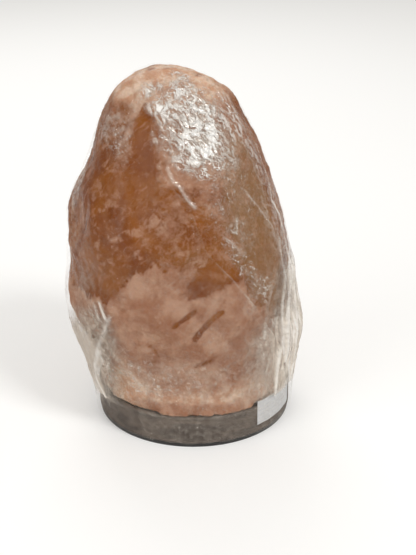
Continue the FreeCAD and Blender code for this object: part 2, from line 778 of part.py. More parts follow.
def make_bulb_cap():
    """Nickel screw cap of the bulb."""
    rings = thread_outline(BULB_CAP_FOOT, "size.thread_crest_radius", first_is_crest=False)
    rim = "size.insulator_radius"
    points = [(f"{rim} - size.insulator_rim", BULB_CAP_FOOT), (rim, BULB_CAP_FOOT)]
    points += rings[1:]
    points += [(CAP_INSIDE, BULB_CAP_TOP), (CAP_INSIDE, f"{BULB_CAP_FOOT} + size.cap_rim_height")]
    return turned("bulb_cap", points)


def make_insulator():
    """Black glass between cap and tip contact."""
    rim, narrow = "size.insulator_radius", "size.tip_radius + size.insulator_foot_rim"
    points = [("0", INSULATOR_FOOT), (narrow, INSULATOR_FOOT), (rim, BULB_CAP_FOOT), ("0", BULB_CAP_FOOT)]
    return turned("cap_insulator", points)


def make_tip():
    """Solder tip of the bulb."""
    radius = "size.tip_radius"
    points = [
        ("0", TIP_FOOT),
        (f"{radius} * {TIP_FACE}", TIP_FOOT),
        (radius, f"{TIP_FOOT} + size.tip_height * {TIP_BEVEL}"),
        (radius, INSULATOR_FOOT),
        ("0", INSULATOR_FOOT),
    ]
    return turned("bulb_tip", points)


def glass_form(name, inset, foot):
    """Neck, shoulder, barrel and domed end of the bulb, taken in all round by inset."""
    barrel, neck = f"(size.bulb_radius - {inset})", f"({NECK} - {inset})"
    throat = cylinder(f"{name}_neck", neck, foot, f"{BULB_CAP_TOP} - {foot}")
    shoulder = doc.addObject("Part::Cone", f"{name}_shoulder")
    shoulder.setExpression("Radius1", neck)
    shoulder.setExpression("Radius2", barrel)
    shoulder.setExpression("Height", "size.bulb_shoulder")
    shoulder.setExpression("Placement.Base.z", BULB_CAP_TOP)
    side = cylinder(f"{name}_barrel", barrel, SHOULDER_TOP, "size.bulb_barrel")
    dome = doc.addObject("Part::Sphere", f"{name}_dome")
    dome.setExpression("Radius", barrel)
    dome.Angle1 = 0
    dome.setExpression("Placement.Base.z", BARREL_TOP)
    return fuse(f"{name}_form", [throat, shoulder, side, dome])


def make_glass():
    """Thin glass envelope, open at its neck, where the stem closes it."""
    outer = glass_form("glass_outer", "0", GLASS_FOOT)
    inner = glass_form("glass_inner", "size.bulb_wall", f"({GLASS_FOOT} - size.bulb_wall)")
    return cut("bulb_glass", outer, inner)


def make_stem():
    """Flared glass stem that closes the neck and carries the wires."""
    flare = f"{NECK} - size.bulb_wall - {CLOSE_FIT}"
    points = [
        ("0", GLASS_FOOT),
        (flare, GLASS_FOOT),
        (flare, f"{GLASS_FOOT} + size.stem_flare_edge"),
        ("size.stem_radius + size.stem_flare_step", f"{GLASS_FOOT} + size.stem_flare_height"),
        ("size.stem_radius", STEM_TOP),
        ("0", STEM_TOP),
    ]
    return turned("glass_stem", points)


def wire_places():
    """The stem's top and the filament's foot height, as numbers."""
    stem_top = sheet.evalExpression(STEM_TOP)
    filament_foot = sheet.evalExpression(FILAMENT_FOOT)
    return float(stem_top), float(filament_foot)


def make_leads():
    """Two lead wires from the stem out to the filament's ends."""
    stem_top, filament_foot = wire_places()
    rods = []
    for side in (-1, 1):
        start = FreeCAD.Vector(side * size("lead_foot"), 0, stem_top + CLOSE_FIT)
        end = FreeCAD.Vector(side * size("filament_radius"), 0, filament_foot - size("lead_gap"))
        rods.append(rod(f"lead_{'left' if side < 0 else 'right'}", start, end, "size.lead_radius"))
    group = doc.addObject("Part::Compound", "lead_wires")
    group.Links = rods
    return group


def make_filament():
    """Coiled filament, as one thin arch between the lead wires."""
    arch = doc.addObject("Part::Torus", "filament")
    arch.setExpression("Radius1", "size.filament_radius")
    arch.setExpression("Radius2", "size.filament_wire_radius")
    arch.Angle3 = 180
    arch.Placement.Rotation = FreeCAD.Rotation(FreeCAD.Vector(1, 0, 0), 90)
    arch.setExpression("Placement.Base.z", FILAMENT_FOOT)
    return arch


def make_filament_support():
    """Wire from the stem up to the filament's crown."""
    reach = f"{FILAMENT_FOOT} + size.filament_radius - size.filament_wire_radius - size.lead_gap"
    foot = f"{STEM_TOP} + {CLOSE_FIT}"
    return cylinder("filament_support", "size.lead_radius", foot, f"{reach} - ({foot})")


def main():
    """Builds every piece, checks it and writes its file."""
    fill_sheet()
    pieces = [
        make_stone(),
        make_film(),
        make_label(),
        make_base(),
        make_pad(),
        make_screws(),
        make_washers(),
        make_plugs(),
        make_tube(),
        make_nut(),
        make_bracket(),
        make_holder_cap(),
        make_holder_body(),
        make_contact_block(),
        make_terminal_screws(),
        make_centre_contact(),
        make_side_contact(),
        make_thread_shell(),
        make_bulb_cap(),
        make_insulator(),
        make_tip(),
        make_glass(),
        make_stem(),
        make_leads(),
        make_filament(),
        make_filament_support(),
    ]
    doc.recompute()
    failed = [o.Name for o in doc.Objects if "Invalid" in o.State or "Error" in o.State]
    if failed:
        raise RuntimeError(f"these objects failed: {failed}")
    os.makedirs("parts", exist_ok=True)
    for piece in pieces:
        shape = piece.Shape
        if shape.isNull() or not shape.isValid() or not shape.Solids:
            raise RuntimeError(f"{piece.Label} has no valid solid")
        low, high = shape.BoundBox.ZMin, shape.BoundBox.ZMax
        solids, volume = len(shape.Solids), shape.Volume
        print(f"{piece.Label:18s} {solids} solids, {volume:11.1f} mm3, from z {low:6.2f} to {high:6.2f}")
        shape.exportStep(f"parts/{piece.Label}.step")


main()
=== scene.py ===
"""Looks of a salt crystal lamp in its clear stretch film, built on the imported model's frame."""

import json
import logging
import math
from dataclasses import dataclass, field
from enum import Enum

import bmesh
import bpy
import numpy as np
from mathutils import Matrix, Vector, noise
from mathutils.bvhtree import BVHTree

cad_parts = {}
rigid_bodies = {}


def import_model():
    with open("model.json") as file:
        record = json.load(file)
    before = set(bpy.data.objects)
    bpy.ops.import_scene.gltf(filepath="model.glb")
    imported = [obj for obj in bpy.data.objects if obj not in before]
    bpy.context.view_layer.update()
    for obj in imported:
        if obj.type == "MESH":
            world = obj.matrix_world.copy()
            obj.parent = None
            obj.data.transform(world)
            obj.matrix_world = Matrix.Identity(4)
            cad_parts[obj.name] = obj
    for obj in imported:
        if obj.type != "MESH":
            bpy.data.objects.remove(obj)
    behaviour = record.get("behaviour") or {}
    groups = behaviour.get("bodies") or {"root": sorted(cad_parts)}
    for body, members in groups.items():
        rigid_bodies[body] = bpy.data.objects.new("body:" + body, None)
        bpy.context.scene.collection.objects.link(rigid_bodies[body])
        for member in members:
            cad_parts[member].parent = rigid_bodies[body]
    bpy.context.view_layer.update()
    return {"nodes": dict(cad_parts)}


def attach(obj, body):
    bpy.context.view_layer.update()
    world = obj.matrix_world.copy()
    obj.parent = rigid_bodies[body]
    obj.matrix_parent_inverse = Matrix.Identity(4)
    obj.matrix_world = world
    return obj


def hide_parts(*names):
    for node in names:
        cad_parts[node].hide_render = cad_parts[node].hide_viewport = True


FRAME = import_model()

LOG = logging.getLogger("salt_lamp")
MM = 0.001

Colour = tuple[float, float, float]
Socket = bpy.types.NodeSocket
Feed = Socket | float | Colour


class Body(Enum):
    """The moving bodies that pieces ride on."""

    LAMP = "lamp"
    LIGHT_UNIT = "light_unit"
    BULB = "bulb"


# ---------------------------------------------------------------- node trees


class Board:
    """A node tree, with short calls that add nodes to it and wire them."""

    def __init__(self, tree: bpy.types.NodeTree) -> None:
        """Takes the tree to work on.

        Args:
            tree: The shader node tree that the nodes go into.
        """
        self.tree = tree

    def feed(self, socket: Socket, value: Feed) -> None:
        """Links another node's output to a socket, or sets the socket's own value.

        Args:
            socket: The input socket.
            value: An output socket, a number or a colour.
        """
        if isinstance(value, bpy.types.NodeSocket):
            self.tree.links.new(value, socket)
        elif socket.type == "RGBA":
            socket.default_value = (*value[:3], 1.0)
        else:
            socket.default_value = value

    def add(self, kind: str, values: dict, **settings: object) -> bpy.types.Node:
        """Adds one node.

        Args:
            kind: The node's type name without its ShaderNode prefix.
            values: What goes into its inputs, by name or number.
            settings: The node's own options.

        Returns:
            The new node.
        """
        node = self.tree.nodes.new("ShaderNode" + kind)
        for name, value in settings.items():
            setattr(node, name, value)
        for name, value in values.items():
            self.feed(node.inputs[name], value)
        return node

    def math(self, operation: str, a: Feed, b: Feed = 0.0, clamp: bool = False) -> Socket:
        """Works out one sum on two values.

        Args:
            operation: The Math node's operation.
            a: The first value.
            b: The second value.
            clamp: True to keep the result between 0 and 1.

        Returns:
            The result's socket.
        """
        return self.add("Math", {0: a, 1: b}, operation=operation, use_clamp=clamp).outputs[0]

    def step(self, value: Feed, low: float, high: float, bottom: float = 0.0, top: float = 1.0) -> Socket:
        """Turns a value into a smooth mask between two limits.

        Args:
            value: The value.
            low: Where the mask starts.
            high: Where the mask ends.
            bottom: The mask at and before its start.
            top: The mask at and past its end.

        Returns:
            The mask's socket.
        """
        values = {"Value": value, "From Min": low, "From Max": high, "To Min": bottom, "To Max": top}
        return self.add("MapRange", values, interpolation_type="SMOOTHSTEP").outputs[0]

    def blend(self, share: Feed, a: Feed, b: Feed) -> Socket:
        """Mixes two colours.

        Args:
            share: How much of the second colour there is.
            a: The first colour.
            b: The second colour.

        Returns:
            The mixed colour's socket.
        """
        return self.add("Mix", {0: share, 6: a, 7: b}, data_type="RGBA", clamp_factor=True).outputs[2]

    def noise(self, vector: Feed, scale: Feed, detail: float = 3.0, rough: float = 0.5, twist: float = 0.0) -> Socket:
        """Adds soft noise.

        Args:
            vector: Where it is read.
            scale: Its cycles per metre.
            detail: How many finer layers it has.
            rough: How strong the finer layers are.
            twist: How far it is distorted.

        Returns:
            The noise's socket, from 0 to 1.
        """
        values = {"Vector": vector, "Scale": scale, "Detail": detail, "Roughness": rough, "Distortion": twist}
        return self.add("TexNoise", values).outputs[0]

    def cells(self, vector: Feed, scale: Feed, feature: str = "F1") -> Socket:
        """Adds a cell pattern.

        Args:
            vector: Where it is read.
            scale: Its cells per metre.
            feature: Which distance it gives.

        Returns:
            The distance's socket.
        """
        return self.add("TexVoronoi", {"Vector": vector, "Scale": scale}, feature=feature).outputs["Distance"]

    def place(self) -> Socket:
        """Returns the socket of the piece's own coordinates, in metres."""
        return self.add("TexCoord", {}).outputs["Object"]

    def cloth(self) -> Socket:
        """Returns the socket of the piece's UV map, which is in metres along the sheet."""
        return self.add("UVMap", {}, uv_map="cloth").outputs[0]

    def mask(self, name: str) -> Socket:
        """Returns the socket of a value that is stored on the piece's points under that name."""
        return self.add("Attribute", {}, attribute_name=name).outputs["Fac"]

    def stretch(self, vector: Feed, scale: tuple[float, float, float], turn: float = 0.0, tilt: float = 0.0) -> Socket:
        """Turns coordinates and then scales them, so that a pattern read there runs long one way.

        Args:
            vector: The coordinates.
            scale: What each turned axis is multiplied by.
            turn: The turn about Z in degrees.
            tilt: The turn about Y in degrees.

        Returns:
            The new coordinates' socket.
        """
        node = self.add("Mapping", {"Vector": vector}, vector_type="TEXTURE")
        node.inputs["Scale"].default_value = tuple(1.0 / share for share in scale)
        node.inputs["Rotation"].default_value = (0.0, math.radians(tilt), math.radians(turn))
        return node.outputs[0]

    def shifted(self, vector: Feed, scale: float, reach: float) -> Socket:
        """Moves coordinates about by soft noise, so that a pattern read there wanders.

        Args:
            vector: The coordinates.
            scale: The noise's cycles per metre.
            reach: How far a point moves, in metres.

        Returns:
            The new coordinates' socket.
        """
        wander = self.add("TexNoise", {"Vector": vector, "Scale": scale, "Detail": 2.0}).outputs["Color"]
        centred = self.add("VectorMath", {0: wander, 1: (0.5, 0.5, 0.5)}, operation="SUBTRACT").outputs[0]
        scaled = self.add("VectorMath", {0: centred, "Scale": reach}, operation="SCALE").outputs[0]
        return self.add("VectorMath", {0: vector, 1: scaled}, operation="ADD").outputs[0]

    def bump(self, height: Feed, distance: float, strength: float = 1.0, under: Socket | None = None) -> Socket:
        """Turns a height into a surface normal.

        Args:
            height: The height, from 0 to 1.
            distance: How tall a height of 1 is, in metres.
            strength: How much of it shows.
            under: A normal that it is laid over.

        Returns:
            The normal's socket.
        """
        values = {"Height": height, "Distance": distance, "Strength": strength}
        if under is not None:
            values["Normal"] = under
        return self.add("Bump", values).outputs[0]


class Effect(Enum):
    """Surface effects that several finishes share, each built once as a node group."""

    MOTTLE = "mottle"
    GRAIN = "grain"
    CREASES = "creases"
    CURLS = "curls"
    STREAKS = "streaks"
    WEAR = "wear"

    def group(self) -> bpy.types.NodeTree:
        """Returns the effect's node group, which is built on the first call."""
        found = bpy.data.node_groups.get(self.value)
        if found is None:
            found = bpy.data.node_groups.new(self.value, "ShaderNodeTree")
            getattr(self, "_" + self.value)(found)
        return found

    def use(self, board: Board, output: str, vector: Feed, **values: float) -> Socket:
        """Places the effect in a material.

        Args:
            board: The material's node board.
            output: Which of the effect's outputs is wanted.
            vector: The coordinates that it is read at.
            values: Its other inputs.

        Returns:
            The output's socket.
        """
        node = board.add("Group", {}, node_tree=self.group())
        board.feed(node.inputs["Vector"], vector)
        for name, value in values.items():
            board.feed(node.inputs[name], value)
        return node.outputs[output]

    @staticmethod
    def _ends(tree: bpy.types.NodeTree, inputs: dict[str, float], outputs: list[str]) -> tuple:
        """Gives a group its sockets.

        Args:
            tree: The group.
            inputs: Each number that goes in, with its usual value.
            outputs: Each value that comes out.

        Returns:
            The board, the input node's outputs and the output node's inputs.
        """
        tree.interface.new_socket(name="Vector", in_out="INPUT", socket_type="NodeSocketVector")
        for name, value in inputs.items():
            socket = tree.interface.new_socket(name=name, in_out="INPUT", socket_type="NodeSocketFloat")
            socket.default_value = value
        for name in outputs:
            tree.interface.new_socket(name=name, in_out="OUTPUT", socket_type="NodeSocketFloat")
        entry = tree.nodes.new("NodeGroupInput")
        leave = tree.nodes.new("NodeGroupOutput")
        return Board(tree), entry.outputs, leave.inputs

    def _mottle(self, tree: bpy.types.NodeTree) -> None:
        """Soft clouds with a clear edge, as a mask."""
        board, given, out = self._ends(tree, {"Scale": 60.0, "Edge": 0.5, "Softness": 0.1}, ["Mask"])
        cloud = board.noise(given["Vector"], given["Scale"], 5.0, 0.62, 0.35)
        above = board.math("SUBTRACT", cloud, given["Edge"])
        share = board.math("DIVIDE", above, given["Softness"])
        board.feed(out["Mask"], board.step(share, -1.0, 1.0))

    def _grain(self, tree: bpy.types.NodeTree) -> None:
        """Fine even roughness with a coarser one under it, as a height."""
        board, given, out = self._ends(tree, {"Scale": 900.0}, ["Height"])
        fine = board.noise(given["Vector"], given["Scale"], 3.0, 0.6)
        coarse_scale = board.math("MULTIPLY", given["Scale"], 0.27)
        coarse = board.noise(given["Vector"], coarse_scale, 2.0, 0.5)
        both = board.math("MULTIPLY", board.math("ADD", fine, coarse), 0.5)
        board.feed(out["Height"], both)

    def _creases(self, tree: bpy.types.NodeTree) -> None:
        """Crumpled sheet: flat facets that meet in sharp wandering lines, as a height and a mask of the lines."""
        board, given, out = self._ends(tree, {"Scale": 150.0, "Width": 0.05}, ["Height", "Line"])
        wander = board.shifted(given["Vector"], 90.0, 0.006)
        gap = board.cells(wander, given["Scale"], "DISTANCE_TO_EDGE")
        facet = board.cells(wander, given["Scale"], "F1")
        near = board.math("DIVIDE", gap, given["Width"])
        line = board.step(near, 0.0, 1.0, 1.0, 0.0)
        board.feed(out["Line"], line)
        board.feed(out["Height"], board.math("ADD", facet, board.math("MULTIPLY", line, 0.35)))

    def _curls(self, tree: bpy.types.NodeTree) -> None:
        """Thin curved lines, as a mask."""
        board, given, out = self._ends(tree, {"Scale": 200.0, "Width": 0.02}, ["Line"])
        wave = board.noise(given["Vector"], given["Scale"], 2.0, 0.45, 0.5)
        gap = board.math("ABSOLUTE", board.math("SUBTRACT", wave, 0.5))
        near = board.math("DIVIDE", gap, given["Width"])
        board.feed(out["Line"], board.step(near, 0.15, 1.0, 1.0, 0.0))

    def _streaks(self, tree: bpy.types.NodeTree) -> None:
        """Long fine lines along the X axis of the coordinates, as a height."""
        board, given, out = self._ends(tree, {"Scale": 700.0}, ["Height"])
        thin = board.stretch(given["Vector"], (0.05, 1.0, 1.0))
        board.feed(out["Height"], board.noise(thin, given["Scale"], 3.0, 0.65))

    def _wear(self, tree: bpy.types.NodeTree) -> None:
        """Handled places and small scuffs, as a mask."""
        board, given, out = self._ends(tree, {"Scale": 120.0, "Amount": 0.4}, ["Mask"])
        patch = board.noise(given["Vector"], given["Scale"], 4.0, 0.6, 0.6)
        scuff_scale = board.math("MULTIPLY", given["Scale"], 7.0)
        scuff = board.noise(given["Vector"], scuff_scale, 2.0, 0.7, 1.5)
        both = board.math("MULTIPLY", board.step(patch, 0.45, 0.75), board.step(scuff, 0.35, 0.65))
        board.feed(out["Mask"], board.math("MULTIPLY", both, given["Amount"]))


# ----------------------------------------------------------------- finishes


@dataclass(frozen=True)
class Finish:
    """A finish that a piece can be dressed in."""

    name: str

    def material(self) -> bpy.types.Material:
        """Returns the finish's material, which is built on the first call."""
        found = bpy.data.materials.get("finish_" + self.name)
        if found is None:
            found = bpy.data.materials.new("finish_" + self.name)
            found.use_nodes = True
            found.node_tree.nodes.clear()
            board = Board(found.node_tree)
            shader = board.add("BsdfPrincipled", {})
            board.add("OutputMaterial", {"Surface": shader.outputs[0]})
            self.lay(board, shader)
        return found

    def lay(self, board: Board, shader: bpy.types.Node) -> None:
        """Builds the finish's own nodes.

        Args:
            board: The material's node board.
            shader: Its Principled shader.
        """
        raise NotImplementedError

    def dress(self, piece: bpy.types.Object) -> None:
        """Puts the finish on a piece, in place of what it wore.

        Args:
            piece: The piece or CAD node.
        """
        slots = piece.data.materials
        if not slots:
            slots.append(None)
        for number in range(len(slots)):
            slots[number] = self.material()


@dataclass(frozen=True)
class RockSalt(Finish):
    """Orange rock salt: clear amber depths, frosted pink and cream surfaces."""

    name: str = "rock_salt"
    deep: Colour = (0.170, 0.038, 0.002)
    amber: Colour = (0.245, 0.074, 0.009)
    blush: Colour = (0.315, 0.138, 0.075)
    frost: Colour = (0.46, 0.265, 0.175)
    cream: Colour = (0.74, 0.560, 0.430)
    tan: Colour = (0.27, 0.145, 0.062)
    rosy: Colour = (0.56, 0.310, 0.190)

    def lay(self, board: Board, shader: bpy.types.Node) -> None:
        """See Finish.lay."""
        place = board.place()
        clear = board.mask("clear")
        pale = board.mask("pale")
        olive = board.mask("olive")
        blotched = board.mask("blotched")
        # The clear share is broken up into clouds, so that amber and frost meet in ragged edges.
        cloud = board.noise(place, 60.0, 6.0, 0.64, 0.5)
        fleck = board.noise(place, 190.0, 6.0, 0.7, 0.3)
        ragged = board.math("ADD", clear, board.math("MULTIPLY", board.math("SUBTRACT", cloud, 0.5), 1.1))
        ragged = board.math("ADD", ragged, board.math("MULTIPLY", board.math("SUBTRACT", fleck, 0.5), 1.3))
        glassy = board.step(ragged, 0.14, 0.62)
        bloom = board.noise(board.shifted(place, 150.0, 0.004), 125.0, 5.0, 0.66, 0.2)
        bloom = board.math("MULTIPLY", board.step(bloom, 0.50, 0.66), blotched)
        brushed = board.stretch(board.shifted(place, 60.0, 0.012), (0.2, 1.0, 1.0), 0.0, -48.0)
        streak = board.step(board.noise(brushed, 420.0, 3.0, 0.6), 0.56, 0.72)
        depth = Effect.MOTTLE.use(board, "Mask", place, Scale=42.0, Edge=0.5, Softness=0.16)
        amber = board.blend(depth, self.amber, self.deep)
        veins = Effect.CREASES.use(board, "Line", place, Scale=95.0, Width=0.09)
        rime = Effect.MOTTLE.use(board, "Mask", place, Scale=70.0, Edge=0.52, Softness=0.14)
        frosted = board.blend(rime, self.blush, self.frost)
        frosted = board.blend(board.math("MULTIPLY", veins, 0.05), frosted, self.cream)
        spread = board.math("ADD", board.math("SUBTRACT", cloud, 0.5), board.math("SUBTRACT", fleck, 0.5))
        freckle = Effect.MOTTLE.use(board, "Mask", place, Scale=135.0, Edge=0.5, Softness=0.1)
        peach = board.blend(freckle, self.rosy, self.cream)
        frosted = board.blend(board.step(board.math("ADD", pale, spread), 0.15, 0.95), frosted, peach)
        colour = board.blend(glassy, frosted, amber)
        brown = board.step(board.math("ADD", olive, board.math("SUBTRACT", fleck, 0.5)), 0.2, 0.9, 0.0, 0.7)
        colour = board.blend(brown, colour, self.tan)
        sparkle = board.step(board.noise(place, 520.0, 3.0, 0.6), 0.60, 0.74)
        colour = board.blend(board.math("MULTIPLY", bloom, 0.62), colour, self.frost)
        colour = board.blend(board.math("MULTIPLY", board.math("MAXIMUM", sparkle, streak), 0.3), colour, self.frost)
        board.feed(shader.inputs["Base Color"], colour)
        board.feed(shader.inputs["Roughness"], board.step(glassy, 0.0, 1.0, 0.62, 0.26))
        crystals = board.cells(place, 420.0, "F1")
        rough = board.math("ADD", Effect.GRAIN.use(board, "Height", place, Scale=900.0), crystals)
        rough = board.math("MULTIPLY", rough, board.step(glassy, 0.0, 1.0, 1.0, 0.25))
        board.feed(shader.inputs["Normal"], board.bump(rough, 0.0007, 0.55))
        board.feed(shader.inputs["Subsurface Weight"], 0.18)
        board.feed(shader.inputs["Subsurface Scale"], 0.006)
        shader.inputs["Subsurface Radius"].default_value = (1.0, 0.45, 0.25)
        board.feed(shader.inputs["IOR"], 1.54)
        board.feed(shader.inputs["Specular IOR Level"], 0.25)
        shader.inputs["Specular Tint"].default_value = (1.0, 0.88, 0.76, 1.0)


@dataclass(frozen=True)
class ClearFilm(Finish):
    """Clear stretch film: a milky veil, white lines painted along its folds as highlights and doubled film, and painted
    glints on its creases.
    """

    name: str = "clear_film"
    veil: Colour = (0.78, 0.68, 0.57)
    milk: Colour = (0.50, 0.405, 0.32)
    # white is the colour of every painted highlight on the film: glints, fold lines and sheen strokes.
    white: Colour = (0.98, 0.965, 0.935)

    def lay(self, board: Board, shader: bpy.types.Node) -> None:
        """See Finish.lay."""
        cloth = board.cloth()
        place = board.place()
        haze = board.mask("haze")
        painted_sheen = board.mask("painted_sheen")
        crinkle = board.mask("crinkle")
        fold = board.mask("fold")
        drape = board.mask("drape")
        long_way = board.stretch(cloth, (0.7, 1.2, 1.0), 24.0)
        wide = Effect.CREASES.use(board, "Height", long_way, Scale=130.0, Width=0.06)
        line = Effect.CREASES.use(board, "Line", long_way, Scale=260.0, Width=0.075)
        small = Effect.CREASES.use(board, "Height", long_way, Scale=330.0, Width=0.06)
        patch = board.noise(place, 75.0, 4.0, 0.6, 0.9)
        slant = board.stretch(board.shifted(place, 120.0, 0.007), (0.45, 1.0, 1.3), 0.0, 54.0)
        curl = Effect.CURLS.use(board, "Line", slant, Scale=210.0, Width=0.024)
        fine = Effect.CURLS.use(board, "Line", slant, Scale=430.0, Width=0.034)
        broken = board.step(board.noise(place, 230.0, 2.0, 0.5, 0.7), 0.45, 0.56)
        other = board.step(board.noise(place, 300.0, 2.0, 0.5, 0.3), 0.48, 0.58)
        # Painted glints: broken curved strokes and, where the film is most crumpled, a net of crease lines, painted
        # white as highlights.
        painted_glint = board.math("MAXIMUM", board.math("MULTIPLY", curl, broken), board.math("MULTIPLY", fine, other))
        net = board.math("MULTIPLY", board.math("MULTIPLY", line, broken), board.step(crinkle, 0.2, 0.8))
        painted_glint = board.math("MAXIMUM", painted_glint, net)
        painted_glint = board.math("MULTIPLY", painted_glint, board.step(patch, 0.34, 0.58))
        painted_glint = board.math("MULTIPLY", painted_glint, crinkle)
        # Painted sheen: bright patches of streaky white strokes, a painted highlight.
        stroke = board.step(board.noise(slant, 330.0, 4.0, 0.68, 0.6), 0.43, 0.57)
        painted_sheen_strokes = board.math("MULTIPLY", painted_sheen, board.math("ADD", board.math("MULTIPLY", stroke, 0.95), 0.12))
        # Along folds a white line is painted, partly doubled film and partly a painted highlight, broken up in patches.
        faded = board.math("MULTIPLY", fold, board.step(patch, 0.28, 0.55, 0.4, 1.0))
        # All the painted highlights together.
        white = board.math("MAXIMUM", board.math("MAXIMUM", painted_glint, faded), painted_sheen_strokes, True)
        # The veil thickens towards the outline: partly the film seen edge-on, partly a painted reflection of light at
        # grazing angles.
        rim = board.add("LayerWeight", {"Blend": 0.35}).outputs["Facing"]
        rim = board.math("POWER", rim, 4.0)
        veil = board.math("ADD", haze, board.math("MULTIPLY", rim, 0.08))
        even = board.step(board.noise(place, 260.0, 4.0, 0.65, 0.8), 0.30, 0.70, 0.55, 1.45)
        hung = board.stretch(board.shifted(place, 45.0, 0.01), (1.0, 1.0, 0.13))
        pleated = board.step(board.noise(hung, 230.0, 4.0, 0.62, 0.3), 0.34, 0.66, 0.62, 1.34)
        veil = board.math("MULTIPLY", veil, board.add("Mix", {0: drape, 2: even, 3: pleated}).outputs[0])
        # The painted highlights also make the film more opaque where they lie.
        alpha = board.math("ADD", veil, board.math("MULTIPLY", white, 0.80))
        board.feed(shader.inputs["Alpha"], board.step(alpha, -0.02, 1.0, 0.0, 0.96))
        veil_colour = board.blend(board.step(board.mask("milky"), 0.0, 0.35), self.veil, self.milk)
        # Painted highlights turn the film white and give it a faint painted glow, though it is no lamp.
        board.feed(shader.inputs["Base Color"], board.blend(white, veil_colour, self.white))
        board.feed(shader.inputs["Emission Color"], board.blend(white, (0.0, 0.0, 0.0), self.white))
        board.feed(shader.inputs["Emission Strength"], 0.2)
        board.feed(shader.inputs["Roughness"], board.step(haze, 0.0, 0.6, 0.10, 0.30))
        height = board.math("ADD", board.math("MULTIPLY", wide, 1.0), board.math("MULTIPLY", small, 0.5))
        height = board.math("ADD", height, board.math("MULTIPLY", board.math("MAXIMUM", curl, fine), 0.35))
        height = board.math("MULTIPLY", height, board.math("ADD", board.math("MULTIPLY", crinkle, 0.9), 0.1))
        board.feed(shader.inputs["Normal"], board.bump(height, 0.0016, 0.9))
        board.feed(shader.inputs["IOR"], 1.9)
        board.feed(shader.inputs["Specular IOR Level"], 0.9)
        shader.inputs["Specular Tint"].default_value = (1.0, 0.94, 0.86, 1.0)


@dataclass(frozen=True)
class LabelPaper(Finish):
    """Thin white label paper with faint ruled lines and fine creases all over."""

    name: str = "label_paper"
    paper: Colour = (0.66, 0.67, 0.68)
    rule: Colour = (0.42, 0.45, 0.56)

    def lay(self, board: Board, shader: bpy.types.Node) -> None:
        """See Finish.lay."""
        cloth = board.cloth()
        rows = board.add("SeparateXYZ", {0: cloth}).outputs[1]
        wave = board.math("FRACT", board.math("MULTIPLY", rows, 1 / 0.0026))
        ruled = board.step(board.math("ABSOLUTE", board.math("SUBTRACT", wave, 0.5)), 0.06, 0.12, 1.0, 0.0)
        worn = board.noise(cloth, 500.0, 3.0, 0.6)
        ruled = board.math("MULTIPLY", ruled, board.step(worn, 0.38, 0.55, 0.1, 0.42))
        grain = Effect.GRAIN.use(board, "Height", cloth, Scale=2500.0)
        paper = board.blend(board.math("MULTIPLY", grain, 0.35), self.paper, (0.8, 0.8, 0.79))
        board.feed(shader.inputs["Base Color"], board.blend(ruled, paper, self.rule))
        board.feed(shader.inputs["Roughness"], board.step(grain, 0.3, 0.7, 0.62, 0.8))
        crush = Effect.CREASES.use(board, "Height", cloth, Scale=160.0, Width=0.08)
        normal = board.bump(crush, 0.0007, 0.5)
        board.feed(shader.inputs["Normal"], board.bump(grain, 0.0001, 0.4, normal))


@dataclass(frozen=True)
class DarkWood(Finish):
    """Dark stained wood, turned and dull, with fine straight grain."""

    name: str = "dark_wood"
    dark: Colour = (0.045, 0.033, 0.026)
    light: Colour = (0.120, 0.090, 0.070)

    def lay(self, board: Board, shader: bpy.types.Node) -> None:
        """See Finish.lay."""
        place = board.shifted(board.place(), 25.0, 0.004)
        rings = board.noise(board.stretch(place, (0.12, 1.0, 1.6)), 140.0, 3.0, 0.6, 0.4)
        pores = Effect.STREAKS.use(board, "Height", place, Scale=1500.0)
        stain = Effect.MOTTLE.use(board, "Mask", place, Scale=38.0, Edge=0.5, Softness=0.2)
        worn = Effect.WEAR.use(board, "Mask", place, Scale=90.0, Amount=0.35)
        porous = board.math("MULTIPLY", board.math("SUBTRACT", pores, 0.5), 1.1)
        share = board.math("ADD", board.step(rings, 0.35, 0.65), porous)
        colour = board.blend(share, self.dark, self.light)
        colour = board.blend(board.math("MULTIPLY", stain, 0.3), colour, (0.09, 0.06, 0.045))
        colour = board.blend(worn, colour, (0.24, 0.20, 0.17))
        board.feed(shader.inputs["Base Color"], colour)
        board.feed(shader.inputs["Roughness"], board.step(pores, 0.3, 0.7, 0.48, 0.68))
        board.feed(shader.inputs["Normal"], board.bump(pores, 0.0003, 0.45))


@dataclass(frozen=True)
class Felt(Finish):
    """Pressed black felt."""

    name: str = "black_felt"
    colour: Colour = (0.016, 0.015, 0.015)

    def lay(self, board: Board, shader: bpy.types.Node) -> None:
        """See Finish.lay."""
        place = board.place()
        fibre = board.noise(board.shifted(place, 700.0, 0.002), 1900.0, 4.0, 0.7, 1.2)
        lint = Effect.MOTTLE.use(board, "Mask", place, Scale=210.0, Edge=0.62, Softness=0.06)
        colour = board.blend(board.step(fibre, 0.35, 0.7), self.colour, (0.055, 0.052, 0.05))
        colour = board.blend(board.math("MULTIPLY", lint, 0.25), colour, (0.13, 0.125, 0.12))
        board.feed(shader.inputs["Base Color"], colour)
        board.feed(shader.inputs["Roughness"], board.step(fibre, 0.2, 0.8, 0.88, 1.0))
        board.feed(shader.inputs["Normal"], board.bump(fibre, 0.0006, 0.9))
        board.feed(shader.inputs["Sheen Weight"], 0.3)


